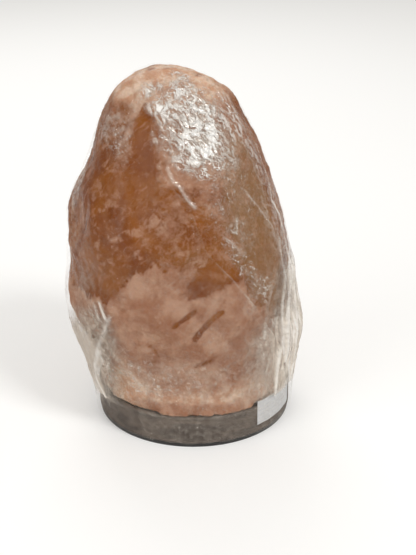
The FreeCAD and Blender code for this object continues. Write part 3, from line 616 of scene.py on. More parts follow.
@dataclass(frozen=True)
class Metal(Finish):
    """Bare or plated metal with fine working marks and a little wear."""

    colour: Colour = (0.6, 0.6, 0.6)
    tarnish: Colour = (0.3, 0.29, 0.27)
    smooth: float = 0.2
    dull: float = 0.42
    marks: float = 900.0

    def lay(self, board: Board, shader: bpy.types.Node) -> None:
        """See Finish.lay."""
        place = board.place()
        marks = Effect.STREAKS.use(board, "Height", place, Scale=self.marks)
        worn = Effect.WEAR.use(board, "Mask", place, Scale=160.0, Amount=0.8)
        spots = Effect.MOTTLE.use(board, "Mask", place, Scale=240.0, Edge=0.6, Softness=0.08)
        dirt = board.math("ADD", board.math("MULTIPLY", spots, 0.3), board.math("MULTIPLY", worn, 0.4))
        board.feed(shader.inputs["Base Color"], board.blend(dirt, self.colour, self.tarnish))
        board.feed(shader.inputs["Metallic"], 1.0)
        rough = board.step(board.math("ADD", marks, worn), 0.25, 1.1, self.smooth, self.dull)
        board.feed(shader.inputs["Roughness"], rough)
        board.feed(shader.inputs["Normal"], board.bump(marks, 0.00008, 0.5))


@dataclass(frozen=True)
class Moulded(Finish):
    """Moulded plastic or fired clay: an even skin with faint flow marks and dust."""

    colour: Colour = (0.7, 0.68, 0.64)
    shade: Colour = (0.55, 0.52, 0.47)
    smooth: float = 0.3
    dull: float = 0.5
    skin: float = 1500.0

    def lay(self, board: Board, shader: bpy.types.Node) -> None:
        """See Finish.lay."""
        place = board.place()
        skin = Effect.GRAIN.use(board, "Height", place, Scale=self.skin)
        flow = Effect.MOTTLE.use(board, "Mask", place, Scale=110.0, Edge=0.5, Softness=0.25)
        worn = Effect.WEAR.use(board, "Mask", place, Scale=200.0, Amount=0.7)
        share = board.math("ADD", board.math("MULTIPLY", flow, 0.45), board.math("MULTIPLY", worn, 0.5))
        board.feed(shader.inputs["Base Color"], board.blend(share, self.colour, self.shade))
        rough = board.step(board.math("ADD", skin, worn), 0.3, 1.0, self.smooth, self.dull)
        board.feed(shader.inputs["Roughness"], rough)
        board.feed(shader.inputs["Normal"], board.bump(skin, 0.0001, 0.4))


@dataclass(frozen=True)
class Glass(Finish):
    """Clear blown glass with a faint ripple."""

    name: str = "bulb_glass"

    def lay(self, board: Board, shader: bpy.types.Node) -> None:
        """See Finish.lay."""
        place = board.place()
        ripple = board.noise(place, 90.0, 2.0, 0.4, 0.3)
        smear = Effect.WEAR.use(board, "Mask", place, Scale=110.0, Amount=0.5)
        board.feed(shader.inputs["Base Color"], board.blend(smear, (0.97, 0.98, 0.98), (0.88, 0.89, 0.9)))
        board.feed(shader.inputs["Roughness"], board.step(smear, 0.0, 0.5, 0.02, 0.12))
        board.feed(shader.inputs["Normal"], board.bump(ripple, 0.0004, 0.15))
        board.feed(shader.inputs["Transmission Weight"], 1.0)
        board.feed(shader.inputs["IOR"], 1.47)


# ------------------------------------------------------ places on the stone


@dataclass(frozen=True)
class Spot:
    """A round or oval place on the wrapped stone, by turn about its axis and height.

    Sizes are in millimetres and turns in degrees. The front is at -90 and the right at 0.
    """

    turn: float
    height: float
    wide: float
    tall: float
    amount: float = 1.0
    lean: float = 0.0

    def share(self, turn: np.ndarray, height: np.ndarray) -> np.ndarray:
        """How far each point is inside the place.

        Args:
            turn: The points' turns.
            height: The points' heights.

        Returns:
            Its amount at the middle, falling softly to 0 at the rim.
        """
        across = (np.remainder(turn - self.turn + 180.0, 360.0) - 180.0) * math.radians(1.0) * 60.0
        up = height - self.height
        c, s = math.cos(math.radians(self.lean)), math.sin(math.radians(self.lean))
        far = np.hypot((across * c + up * s) / self.wide, (up * c - across * s) / self.tall)
        return self.amount * np.clip(1.5 - far, 0.0, 1.0) ** 2 * (3.0 - 2.0 * np.clip(1.5 - far, 0.0, 1.0))


@dataclass(frozen=True)
class Strand:
    """A line across the wrapped stone, through points of turn and height."""

    points: tuple[tuple[float, float], ...]
    wide: float
    amount: float = 1.0
    lift: float = 0.0

    def distance(self, turn: np.ndarray, height: np.ndarray) -> np.ndarray:
        """How far each point is from the line, in millimetres.

        Args:
            turn: The points' turns.
            height: The points' heights.

        Returns:
            The distances.
        """
        best = np.full(turn.shape, 1e9)
        for (t0, h0), (t1, h1) in zip(self.points, self.points[1:]):
            k = math.radians(1.0) * 60.0
            ax = (np.remainder(turn - t0 + 180.0, 360.0) - 180.0) * k
            bx = (t1 - t0) * k
            ay, by = height - h0, h1 - h0
            along = np.clip((ax * bx + ay * by) / (bx * bx + by * by), 0.0, 1.0)
            best = np.minimum(best, np.hypot(ax - along * bx, ay - along * by))
        return best

    def share(self, turn: np.ndarray, height: np.ndarray) -> np.ndarray:
        """How far each point is inside the line's width.

        Args:
            turn: The points' turns.
            height: The points' heights.

        Returns:
            Its amount on the line, falling softly to 0 beside it.
        """
        inside = np.clip(1.0 - self.distance(turn, height) / self.wide, 0.0, 1.0)
        return self.amount * inside * inside * (3.0 - 2.0 * inside)


def soft_step(value: np.ndarray, low: float, high: float) -> np.ndarray:
    """A smooth rise from 0 at low to 1 at high.

    Args:
        value: The values.
        low: Where it starts.
        high: Where it ends.

    Returns:
        The rise at each value.
    """
    share = np.clip((value - low) / (high - low), 0.0, 1.0)
    return share * share * (3.0 - 2.0 * share)


def turn_and_height(points: np.ndarray) -> tuple[np.ndarray, np.ndarray]:
    """The turn about the stone's axis and the height of each point.

    Args:
        points: Points in millimetres.

    Returns:
        Turns in degrees and heights in millimetres.
    """
    return np.degrees(np.arctan2(points[:, 1], points[:, 0] + 8.0)), points[:, 2]


def clouds(points: np.ndarray, size: float, layers: int = 3, shift: float = 0.0) -> np.ndarray:
    """Soft noise at each point.

    Args:
        points: Points in millimetres.
        size: How wide one cloud is, in millimetres.
        layers: How many finer layers it has.
        shift: Moves the pattern, so that two of them differ.

    Returns:
        Values round 0, mostly between -1 and 1.
    """
    step = 1.0 / size
    return np.array([noise.fractal(Vector(p) * step + Vector((shift, shift, shift)), 0.9, 2.1, layers) for p in points])


def read_points(mesh: bpy.types.Mesh) -> np.ndarray:
    """Returns a mesh's points in millimetres."""
    flat = np.zeros(len(mesh.vertices) * 3, np.float32)
    mesh.vertices.foreach_get("co", flat)
    return flat.reshape(-1, 3).astype(float) / MM


def write_points(mesh: bpy.types.Mesh, points: np.ndarray) -> None:
    """Moves a mesh's points.

    Args:
        mesh: The mesh.
        points: The new points in millimetres.
    """
    mesh.vertices.foreach_set("co", (points * MM).astype(np.float32).ravel())
    mesh.update()


def read_normals(mesh: bpy.types.Mesh) -> np.ndarray:
    """Returns a mesh's point normals."""
    flat = np.zeros(len(mesh.vertices) * 3, np.float32)
    mesh.vertices.foreach_get("normal", flat)
    return flat.reshape(-1, 3).astype(float)


def store(mesh: bpy.types.Mesh, name: str, values: np.ndarray) -> None:
    """Stores a value on a mesh's points.

    Args:
        mesh: The mesh.
        name: What a material calls it.
        values: The value at each point.
    """
    attribute = mesh.attributes.new(name, "FLOAT", "POINT")
    attribute.data.foreach_set("value", np.clip(values, 0.0, 1.0).astype(np.float32))


def total(places: tuple, turn: np.ndarray, height: np.ndarray) -> np.ndarray:
    """Adds up how far each point is inside several places.

    Args:
        places: The spots and strands.
        turn: The points' turns.
        height: The points' heights.

    Returns:
        The sum at each point.
    """
    return sum(place.share(turn, height) for place in places)


def from_front(turn: np.ndarray) -> np.ndarray:
    """Returns how far each turn is from the front, from 0 to 180 degrees."""
    return np.abs(np.remainder(turn + 270.0, 360.0) - 180.0)


def merge_points(mesh: bpy.types.Mesh, distance: float) -> None:
    """Joins a mesh's points that lie together.

    Args:
        mesh: The mesh.
        distance: How close they have to be, in metres.
    """
    shape = bmesh.new()
    shape.from_mesh(mesh)
    bmesh.ops.remove_doubles(shape, verts=shape.verts, dist=distance)
    shape.to_mesh(mesh)
    shape.free()


def lay_out(mesh: bpy.types.Mesh, layer: bpy.types.MeshUVLoopLayer, places: np.ndarray) -> None:
    """Fills a UV map from a place for each point.

    Args:
        mesh: The mesh.
        layer: Its UV map.
        places: Two coordinates for each point, in metres.
    """
    corner = np.zeros(len(mesh.loops), np.int32)
    mesh.loops.foreach_get("vertex_index", corner)
    layer.data.foreach_set("uv", places[corner].astype(np.float32).ravel())


def select_none() -> None:
    """Deselects every piece."""
    for other in bpy.context.view_layer.objects:
        other.select_set(False)


def only(piece: bpy.types.Object) -> None:
    """Selects one piece and nothing else, and makes it the active one.

    Args:
        piece: The piece.
    """
    select_none()
    piece.select_set(True)
    bpy.context.view_layer.objects.active = piece


def finish_modifiers(piece: bpy.types.Object) -> None:
    """Applies every modifier of a piece, in order."""
    only(piece)
    for modifier in list(piece.modifiers):
        bpy.ops.object.modifier_apply(modifier=modifier.name)


def new_piece(name: str, mesh: bpy.types.Mesh) -> bpy.types.Object:
    """Puts a mesh into the scene as a piece.

    Args:
        name: The piece's name.
        mesh: Its mesh.

    Returns:
        The piece.
    """
    piece = bpy.data.objects.new(name, mesh)
    bpy.context.scene.collection.objects.link(piece)
    return piece


def settle(piece: bpy.types.Object, body: Body, finish: Finish, *nodes: str) -> bpy.types.Object:
    """Makes a finished piece ride on its body, wear its finish and stand for its CAD nodes.

    Args:
        piece: The piece.
        body: The body that it moves with.
        finish: What it wears.
        nodes: The CAD nodes that it replaces.

    Returns:
        The piece.
    """
    finish.dress(piece)
    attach(piece, body.value)
    if nodes:
        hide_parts(*nodes)
    LOG.info("%s: %d faces", piece.name, len(piece.data.polygons))
    return piece


# ------------------------------------------------------------ sub-assemblies


@dataclass
class HewnStone:
    """The rock salt crystal: struck, cleft and weathered, with a drilled bore."""

    finish: RockSalt = field(default_factory=RockSalt)
    voxel: float = 1.35
    bore: float = 25.0
    bore_top: float = 112.0
    foot: float = 20.0
    dents: int = 150
    trough: Strand = Strand(((-127, 193), (-121, 178), (-116, 162), (-112, 140), (-110, 122)), 22.0)
    ragged_edge: tuple = ((-180, 90), (-152, 89), (-132, 91), (-124, 99), (-117, 108), (-106, 113), (-88, 115),
                          (-70, 113), (-56, 104), (-44, 86), (-30, 74), (-14, 70), (10, 80), (34, 108),
                          (58, 84), (84, 96), (106, 124), (128, 104), (150, 76), (166, 88), (180, 90))
    clear: tuple = (
        Strand(((-124, 184), (-121, 176), (-116, 162), (-112, 138)), 14.0, 0.75),
        Strand(((-131, 197), (-124, 184)), 11.0, 0.4),
        Spot(-148, 178, 12, 9, 0.35),
        Spot(-152, 152, 23, 22, 0.5),
        Spot(-140, 104, 22, 13, 0.35),
        Spot(-112, 128, 12, 12, 0.3),
        Spot(-73, 105, 14, 8, 0.8, 20),
        Strand(((-92, 81), (-81, 89)), 2.6, 0.9),
        Strand(((-81, 72), (-74, 80), (-66, 87)), 3.2, 0.9),
        Strand(((-106, 66), (-102, 61)), 2.4, 0.5),
        Strand(((-150, 60), (-143, 45)), 6.0, 0.3),
        Strand(((-80, 52), (-72, 56)), 2.4, 0.4),
    )
    frost: tuple = (
        Strand(((-144, 199), (-140, 184), (-138, 168)), 12.0, 0.35),
        Spot(-82, 182, 27, 24, 0.45),
        Spot(-58, 165, 22, 25, 0.25),
        Spot(-94, 140, 12, 9, 0.15),
        Spot(-32, 192, 22, 17, 0.6),
        Spot(-105, 203, 26, 9, 0.5),
        Spot(-150, 206, 26, 7, 0.4),
    )
    blotched: tuple = (
        Spot(-135, 128, 34, 24, 1.0),
        Spot(-95, 130, 26, 20, 0.9),
        Spot(-55, 130, 24, 30, 0.7),
        Spot(-142, 178, 16, 24, 1.0),
        Spot(-80, 190, 30, 22, 0.8),
        Spot(-165, 170, 14, 22, 0.6),
        Spot(-30, 160, 20, 30, 0.4),
        Spot(60, 130, 80, 50, 0.6),
        Spot(150, 130, 40, 40, 0.8),
    )
    olive: tuple = (
        Spot(-38, 158, 22, 30, 0.7),
        Spot(-34, 112, 20, 34, 0.75),
        Spot(-58, 128, 14, 18, 0.4),
        Spot(-20, 76, 14, 20, 0.45),
        Spot(-84, 122, 14, 8, 0.35),
        Spot(-100, 72, 14, 6, 0.3),
    )
    swell: tuple = (
        Spot(-155, 209, 20, 6, 1.6),
        Spot(-12, 203, 20, 9, 1.8),
        Spot(-8, 184, 16, 12, 1.3),
        Strand(((-150, 204), (-128, 201), (-110, 197), (-95, 192)), 6.0, 1.7),
        Spot(170, 132, 14, 18, 0.8),
        Spot(176, 160, 14, 12, -0.9),
    )

    def _shell(self) -> bpy.types.Object:
        """Returns an even mesh of the stone, made from the CAD stone."""
        mesh = FRAME["nodes"]["salt_crystal"].data.copy()
        piece = new_piece("hewn_stone", mesh)
        merge_points(mesh, 0.00001)
        only(piece)
        remesh = piece.modifiers.new("even", "REMESH")
        remesh.mode = "VOXEL"
        remesh.voxel_size = self.voxel * MM
        remesh.use_smooth_shade = True
        relax = piece.modifiers.new("relax", "SMOOTH")
        relax.factor = 0.5
        relax.iterations = 3
        finish_modifiers(piece)
        turn, height = turn_and_height(read_points(mesh))
        soft = piece.vertex_groups.new(name="trough")
        for number, share in enumerate(np.clip(2.5 * self.trough.share(turn, height), 0.0, 1.0)):
            if share > 0.01:
                soft.add([number], float(share), "REPLACE")
        ease = piece.modifiers.new("ease", "SMOOTH")
        ease.factor = 0.9
        ease.iterations = 110
        ease.vertex_group = soft.name
        finish_modifiers(piece)
        piece.vertex_groups.clear()
        return piece

    def _struck(self, points: np.ndarray, turn: np.ndarray, height: np.ndarray) -> np.ndarray:
        """How deep the tool marks and the clefts go at each point.

        Args:
            points: The points.
            turn: Their turns.
            height: Their heights.

        Returns:
            The depths in millimetres.
        """
        rng = np.random.default_rng(11)
        picks = rng.choice(len(points), self.dents * 3, replace=False)
        depth = np.zeros(len(points))
        for pick in picks[: self.dents]:
            reach = rng.uniform(6.0, 17.0)
            deep = reach * rng.uniform(0.06, 0.11)
            far = np.linalg.norm(points - points[pick], axis=1) / reach
            depth = np.maximum(depth, deep * (1.0 - far**2))
        return depth * (1.0 - 0.85 * np.clip(2.0 * self.trough.share(turn, height), 0.0, 1.0))

    def build(self) -> bpy.types.Object:
        """Returns the finished stone."""
        piece = self._shell()
        mesh = piece.data
        points, normals = read_points(mesh), read_normals(mesh)
        turn, height = turn_and_height(points)
        inner = np.hypot(points[:, 0], points[:, 1])
        outside = 1.0 - (inner < self.bore + 1.5) * (height < self.bore_top + 1.5)
        outside = outside * soft_step(height, self.foot + 0.3, self.foot + 4.0)
        calm = np.clip(total(self.clear, turn, height), 0.0, 1.0)
        coarse = clouds(points, 15.0, 3)
        lumps = clouds(points, 5.5, 3, 7.3)
        fine = clouds(points, 2.4, 2, 3.1)
        relief = 0.55 * coarse + (0.42 * lumps + 0.16 * fine) * (1.0 - 0.75 * calm)
        relief = relief + total(self.swell, turn, height)
        move = (relief - self._struck(points, turn, height) + 0.35) * outside
        chipped = soft_step(clouds(points * np.array([1.0, 1.0, 0.3]), 13.0, 3, 2.2), -0.1, 0.5)
        move = move - 1.7 * chipped * soft_step(-height, -25.0, -20.5) * (inner > self.bore + 10.0)
        points = points + normals * move[:, None]
        points[:, 2] = np.maximum(points[:, 2], self.foot)
        write_points(mesh, points)
        self._tell_colours(mesh, points)
        return settle(piece, Body.LAMP, self.finish, "salt_crystal")

    def _tell_colours(self, mesh: bpy.types.Mesh, points: np.ndarray) -> None:
        """Stores where the salt is clear and where it is pale.

        Args:
            mesh: The stone's mesh.
            points: Its points in millimetres.
        """
        turn, height = turn_and_height(points)
        upright = points * np.array([1.0, 1.0, 0.4])
        border = np.interp(turn, *zip(*self.ragged_edge)) + 4.0 * clouds(points, 14.0, 2, 9.1)
        border = border + 5.5 * clouds(upright, 4.5, 3, 4.4)
        clear = 0.06 + 0.50 * soft_step(height - border, -1.5, 2.0) - 0.34 * soft_step(height, 188.0, 203.0)
        clear = clear + total(self.clear, turn, height)
        clear = clear - total(self.frost, turn, height)
        pale = soft_step(height, 190.0, 206.0) * 0.75 + soft_step(-height, -46.0, -28.0) * 0.7
        pale = pale + Strand(((-144, 199), (-138, 168)), 12.0, 0.12).share(turn, height)
        pale = pale + Spot(-138, 40, 26, 20, 0.5).share(turn, height) + Spot(-82, 182, 22, 20, 0.3).share(turn, height)
        pale = pale - 0.6 * Spot(-90, 23, 40, 4, 1.0).share(turn, height)
        store(mesh, "blotched", total(self.blotched, turn, height))
        store(mesh, "olive", total(self.olive, turn, height))
        store(mesh, "clear", clear)
        store(mesh, "pale", pale)


@dataclass
class FilmWrap:
    """The stretch film: one sheet wound round stone and base, pulled taut over the hollows between them."""

    finish: ClearFilm = field(default_factory=ClearFilm)
    around: int = 500
    ring: int = 396
    domed: int = 56
    upright: int = 124
    gap: float = 0.55
    lap: float = 95.0
    shoulder: float = 160.0
    hem: float = 2.5
    layer: float = 0.5
    far_out: float = 160.0
    rounds: int = 260
    mean_radius: float = 0.062
    least_crinkle: float = 0.16
    edge: tuple = ((204, -118), (196, -108), (180, -100), (167, -97), (149, -80), (124, -73), (108, -61), (85, -47),
                   (60, -36), (30, -28), (0, -24))
    # How strongly a white line is painted along the sheet's cut edge at each height: partly its doubled edge, partly a
    # painted highlight.
    edge_shows: tuple = ((30, 0.05), (75, 0.1), (88, 0.35), (118, 0.3), (135, 0.1), (150, 0.25), (162, 0.3),
                         (172, 0.15), (200, 0.05))
    milky: tuple = (
        Spot(-143, 64, 17, 20, 0.44, -12),
        Spot(-152, 40, 16, 20, 0.3),
        Spot(-150, 90, 6, 4, 0.15),
    )
    # Patches where a highlight is painted on the film.
    painted_sheen: tuple = (
        Spot(-68, 194, 17, 18, 0.75, -15),
        Spot(-76, 177, 20, 9, 0.7, 10),
        Spot(-93, 190, 12, 10, 0.45),
        Spot(-116, 199, 15, 4, 0.5),
        Spot(-108, 189, 8, 9, 0.35),
        Spot(-50, 182, 14, 17, 0.4),
        Spot(-158, 186, 8, 9, 0.25),
        Spot(-173, 145, 7, 14, 0.3),
        Spot(-50, 97, 7, 14, 0.2),
        Spot(58, 186, 22, 16, 0.4),
        Spot(122, 190, 20, 12, 0.3),
        Spot(96, 140, 14, 20, 0.16),
        Spot(-100, 201, 18, 7, 0.5),
        Spot(-88, 209, 14, 4, 0.6),
        Spot(-140, 206, 12, 4, 0.35),
        Spot(-128, 207, 12, 4, 0.35),
        Spot(-20, 186, 12, 24, 0.30),
        Spot(-18, 140, 12, 34, 0.30),
        Spot(-142, 184, 10, 16, 0.08),
        Spot(-30, 192, 16, 13, 0.32),
    )
    # Where the film is crumpled; there its creases also carry painted glints.
    crinkles: tuple = (
        Spot(-74, 190, 30, 20, 1.0, -12),
        Spot(-80, 177, 24, 12, 0.8, -20),
        Spot(-60, 203, 26, 12, 0.8),
        Spot(-52, 150, 20, 30, 0.28),
        Spot(-50, 108, 6, 24, 0.5, 30),
        Spot(-30, 100, 20, 40, 0.12),
        Spot(-100, 45, 34, 12, 0.2),
        Spot(-128, 50, 18, 22, 0.15),
        Spot(-140, 182, 14, 18, 0.3),
        Spot(40, 160, 34, 34, 0.32),
        Spot(105, 178, 40, 30, 0.38),
        Spot(158, 130, 28, 44, 0.28),
        Spot(80, 110, 34, 20, 0.22),
        Spot(-104, 207, 30, 9, 0.9),
    )
    calm: tuple = (
        Strand(((-127, 192), (-121, 178), (-116, 162), (-112, 134)), 14.0, 1.0),
        Spot(-152, 150, 22, 20, 0.8),
    )
    # Folds: each lifts the film and carries a white line, partly doubled film and partly a painted highlight.
    strands: tuple = (
        Strand(((-98, 169), (-93, 162), (-88, 159), (-84, 153), (-79, 149)), 2.6, 0.75, 1.0),
        Strand(((-123, 200), (-110, 197), (-93, 191)), 1.8, 0.8, 0.9),
        Strand(((-6, 172), (-13, 154), (-19, 142), (-13, 131), (-14, 116), (-13, 96), (-22, 81), (-27, 64),
                (-27, 44)), 1.8, 0.9, 0.9),
        Strand(((-40, 152), (-32, 142), (-24, 128), (-22, 112)), 1.4, 0.7, 0.7),
        Strand(((-20, 120), (-24, 96), (-30, 74), (-34, 50), (-34, 24)), 1.5, 0.8, 0.7),
        Strand(((-8, 110), (-12, 84), (-16, 60), (-18, 30)), 1.6, 0.85, 0.8),
        Strand(((-36, 96), (-40, 84), (-44, 66)), 1.3, 0.6, 0.5),
        Strand(((-134, 90), (-130, 80)), 1.3, 0.9, 0.5),
        Strand(((-138, 88), (-134, 78)), 1.0, 0.7, 0.4),
        Strand(((-127, 83), (-133, 68), (-141, 52)), 1.5, 0.7, 0.6),
        Strand(((-137, 56), (-146, 42), (-150, 30), (-143, 20)), 1.8, 0.8, 0.7),
        Strand(((-57, 138), (-63, 132), (-50, 118)), 1.2, 0.6, 0.4),
        Strand(((-52, 140), (-54, 132), (-58, 134)), 1.2, 0.8, 0.4),
        Strand(((-78, 206), (-61, 203), (-52, 196)), 1.6, 0.7, 0.6),
        Strand(((30, 190), (24, 160), (34, 130), (28, 100)), 1.6, 0.6, 0.7),
        Strand(((52, 132), (60, 104), (54, 78), (57, 40)), 1.4, 0.5, 0.6),
        Strand(((70, 200), (84, 170), (80, 140), (96, 110), (92, 70)), 1.6, 0.6, 0.8),
        Strand(((130, 190), (120, 160), (128, 120), (116, 90)), 1.5, 0.55, 0.7),
        Strand(((165, 174), (156, 140), (166, 108)), 1.4, 0.5, 0.6),
    )

    def _rays(self) -> tuple[np.ndarray, np.ndarray]:
        """Returns the start and direction of the ray through each point of the film, row by row from the top."""
        turns = np.radians(np.arange(self.ring) * 360.0 / self.ring)
        starts, ways = [], []
        for row in range(self.domed):
            polar = math.pi / 2 * row / self.domed
            flat, rise = math.sin(polar), np.full_like(turns, math.cos(polar))
            way = np.stack([np.cos(turns) * flat, np.sin(turns) * flat, rise], axis=1)
            starts.append(np.tile((-11.0, 5.0, self.shoulder), (self.ring, 1)))
            ways.append(way)
        for row in range(self.upright):
            height = self.shoulder + (self.hem - self.shoulder) * row / (self.upright - 1)
            marks = (20, 80, 160)
            middle = (np.interp(height, marks, (0, -8, -11)), np.interp(height, marks, (0, 1, 5)), height)
            starts.append(np.tile(middle, (self.ring, 1)))
            ways.append(np.stack([np.cos(turns), np.sin(turns), np.zeros_like(turns)], axis=1))
        return np.array(starts), np.array(ways)

    def _reach(self, starts: np.ndarray, ways: np.ndarray, under: list[bpy.types.Object]) -> np.ndarray:
        """How far along each ray the wrapped things reach.

        Args:
            starts: Where the rays start.
            ways: Their directions.
            under: The pieces that are wrapped.

        Returns:
            The reach of each ray in millimetres.
        """
        trees = []
        for piece in under:
            faces = [tuple(face.vertices) for face in piece.data.polygons]
            trees.append(BVHTree.FromPolygons([Vector(p) for p in read_points(piece.data)], faces))
        reach = np.zeros(starts.shape[:2])
        for row in range(starts.shape[0]):
            for column in range(starts.shape[1]):
                start, way = Vector(starts[row, column]), Vector(ways[row, column])
                for tree in trees:
                    far = tree.ray_cast(start + way * self.far_out, -way)[3]
                    if far is not None and far < self.far_out:
                        reach[row, column] = max(reach[row, column], self.far_out - far)
        return reach

    @staticmethod
    def _pull(least: np.ndarray, film: np.ndarray, starts: np.ndarray, ways: np.ndarray, steps: int) -> np.ndarray:
        """Lets the film draw itself tight over what it wraps.

        Args:
            least: The least reach of each ray.
            film: The film's reach to begin with.
            starts: Where the rays start.
            ways: Their directions.
            steps: How many rounds it takes.

        Returns:
            The film's reach.
        """
        for _ in range(steps):
            points = starts + ways * film[..., None]
            beside = (np.roll(points, 1, axis=1) + np.roll(points, -1, axis=1)) * 0.5
            above = np.concatenate([points[:1], points[:-1]])
            below = np.concatenate([points[1:], points[-1:]])
            mean = beside * 0.35 + (above + below) * 0.325
            drawn = ((mean - starts) * ways).sum(axis=2)
            film = np.maximum(least, drawn)
            film[0] = film[0].mean()
        return film

    def _taut(
        self, starts: np.ndarray, ways: np.ndarray, under: list[bpy.types.Object]
    ) -> tuple[np.ndarray, np.ndarray]:
        """Solves the taut film.

        Args:
            starts: Where the rays start.
            ways: Their directions.
            under: The pieces that are wrapped.

        Returns:
            The film's reach, and the reach of what lies under it.
        """
        reach = self._reach(starts, ways, under)
        height = starts[..., 2] + ways[..., 2] * reach
        drawn_out = soft_step(height, 22.0, 30.0) * soft_step(-height, -116.0, -96.0)
        slack = self._reach(starts, ways, [FRAME["nodes"]["stretch_film"]]) - 0.6 - 8.0 * (1.0 - drawn_out)
        least = np.maximum(reach + self.gap, slack)
        film = least.copy()
        rows = np.arange(len(least))
        for column in range(least.shape[1]):
            film[:, column] = self._hull(rows, least[:, column])
        return self._pull(least, film, starts, ways, self.rounds), reach

    def _hull(self, rows: np.ndarray, values: np.ndarray) -> np.ndarray:
        """The lowest line without hollows over a row of values.

        Args:
            rows: Where the values stand.
            values: The values.

        Returns:
            The line at each place.
        """
        kept: list[int] = []
        first = self.domed
        for i in range(first, len(values)):
            while len(kept) > 1:
                a, b = kept[-2], kept[-1]
                if (values[b] - values[a]) * (i - a) <= (values[i] - values[a]) * (b - a):
                    kept.pop()
                else:
                    break
            kept.append(i)
        line = values.copy()
        line[first:] = np.interp(rows[first:], kept, values[kept])
        return line

    def build(self, under: list[bpy.types.Object]) -> bpy.types.Object:
        """Makes the film.

        Args:
            under: The pieces that it is wrapped round.

        Returns:
            The film as a finished piece.
        """
        starts, ways = self._rays()
        film, reach = self._taut(starts, ways, under)
        gap = np.maximum(film - reach - self.gap, 0.0)
        points = starts + ways * film[..., None]
        flat = points.reshape(-1, 3)
        turn, height = turn_and_height(flat)
        shape = film.shape
        calm = total(self.calm, turn, height)
        crinkle = np.clip(self.least_crinkle + total(self.crinkles, turn, height) - calm, 0.0, 1.0)
        # fold is where white lines are painted along folds, partly doubled film and partly a painted highlight.
        fold = np.zeros(len(flat))
        lift = np.zeros(len(flat))
        for strand in self.strands:
            share = strand.share(turn, height)
            fold = np.maximum(fold, share * strand.amount)
            lift = np.maximum(lift, share / strand.amount * strand.lift)
        ruck = np.abs(clouds(flat * np.array([1.0, 1.0, 0.45]), 5.0, 3, 5.2)) * 1.1
        slack = soft_step(gap.ravel(), 0.5, 6.0)
        lift = lift + ruck * (0.15 + 0.55 * crinkle + 0.35 * slack)
        beside = soft_step(from_front(turn), 28.0, 62.0)
        pleats = np.abs(clouds(np.stack([turn * 1.05, height * 0.10, height * 0.0], axis=1), 5.0, 3, 1.7))
        right = Spot(2, 74, 34, 52, 1.0).share(turn, height)
        lift = lift + 2.2 * pleats * slack * beside * (0.35 + 0.65 * right)
        # The right tent's pleats carry such painted white lines too.
        fold = np.maximum(fold, 0.85 * soft_step(-pleats, -0.13, -0.02) * slack * beside * (0.12 + 0.88 * right))
        slack = slack * soft_step(-height, -125.0, -105.0)
        # Behind, where the film hangs closer, its milky part ends lower and in an uneven line.
        hind = soft_step(from_front(turn), 84.0, 124.0)
        slack = slack * (1.0 - 0.5 * hind * soft_step(height + 9.0 * clouds(flat, 16.0, 3, 5.5), 28.0, 84.0))
        haze = 0.008 + slack * (0.08 + (0.42 - 0.14 * hind) * beside) + 0.08 * soft_step(-height, -24.0, -19.0)
        haze = haze + 0.22 * right + 0.10 * Spot(-50, 160, 26, 40, 1.0).share(turn, height)
        haze = haze + 0.14 * np.clip(crinkle - self.least_crinkle, 0.0, 1.0)
        milky = total(self.milky, turn, height)
        haze = haze + milky
        # The sheen patches are painted highlight, and they thicken the veil a little.
        painted_sheen = total(self.painted_sheen, turn, height)
        haze = haze + 0.15 * painted_sheen
        haze = haze - 0.1 * calm
        grid = {"crinkle": crinkle, "fold": fold, "haze": haze, "painted_sheen": painted_sheen, "milky": milky}
        grid.update(drape=slack * beside, lift=lift)
        return self._sheet(points, ways, {k: v.reshape(shape) for k, v in grid.items()})

    def _sheet(self, points: np.ndarray, ways: np.ndarray, grid: dict[str, np.ndarray]) -> bpy.types.Object:
        """Winds the sheet along the solved film.

        Args:
            points: The film's points, row by row.
            ways: The outward direction at each point.
            grid: The values at each point, the lift of its folds among them.

        Returns:
            The film as a finished piece.
        """
        rows = len(points)
        whole = 360.0 + self.lap
        heights = points[..., 2].mean(axis=1)
        ends = np.interp(heights, [h for h, _ in self.edge[::-1]], [t for _, t in self.edge[::-1]])
        wound = np.linspace(0.0, whole, self.around + 1)
        places, values = [], {k: [] for k in grid if k != "lift"}
        for row in range(rows):
            turns = np.remainder(ends[row] - whole + wound, 360.0) * self.ring / 360.0
            low = np.floor(turns).astype(int) % self.ring
            part = (turns - np.floor(turns))[:, None]
            high = (low + 1) % self.ring
            spot = points[row] + ways[row] * grid["lift"][row][:, None]
            place = spot[low] * (1 - part) + spot[high] * part
            way = ways[row][low] * (1 - part) + ways[row][high] * part
            over = self.layer * wound / 360.0
            place = place + way * over[:, None]
            places.append(place)
            for k in values:
                line = grid[k][row]
                values[k].append(line[low] * (1 - part[:, 0]) + line[high] * part[:, 0])
        places = np.array(places)
        places[0] = places[0].mean(axis=0)
        turns = np.arctan2(places[-1, :, 1], places[-1, :, 0])
        places[-1, :, 2] += 0.5 + 0.5 * np.sin(turns * 9.0) * np.sin(turns * 23.0 + 1.0)
        values = {k: np.array(v) for k, v in values.items()}
        # A white line is painted along the sheet's cut edge, partly its doubled edge and partly a painted highlight.
        line = np.clip(1.0 - np.abs(wound - whole)[None, :] / 1.2, 0.0, 1.0)
        shown = np.interp(heights, *zip(*self.edge_shows))
        values["fold"] = np.maximum(values["fold"], shown[:, None] * line)
        values["haze"] = values["haze"] + 0.06 * (wound > 360.0)[None, :]
        return self._mesh(places, values, wound)

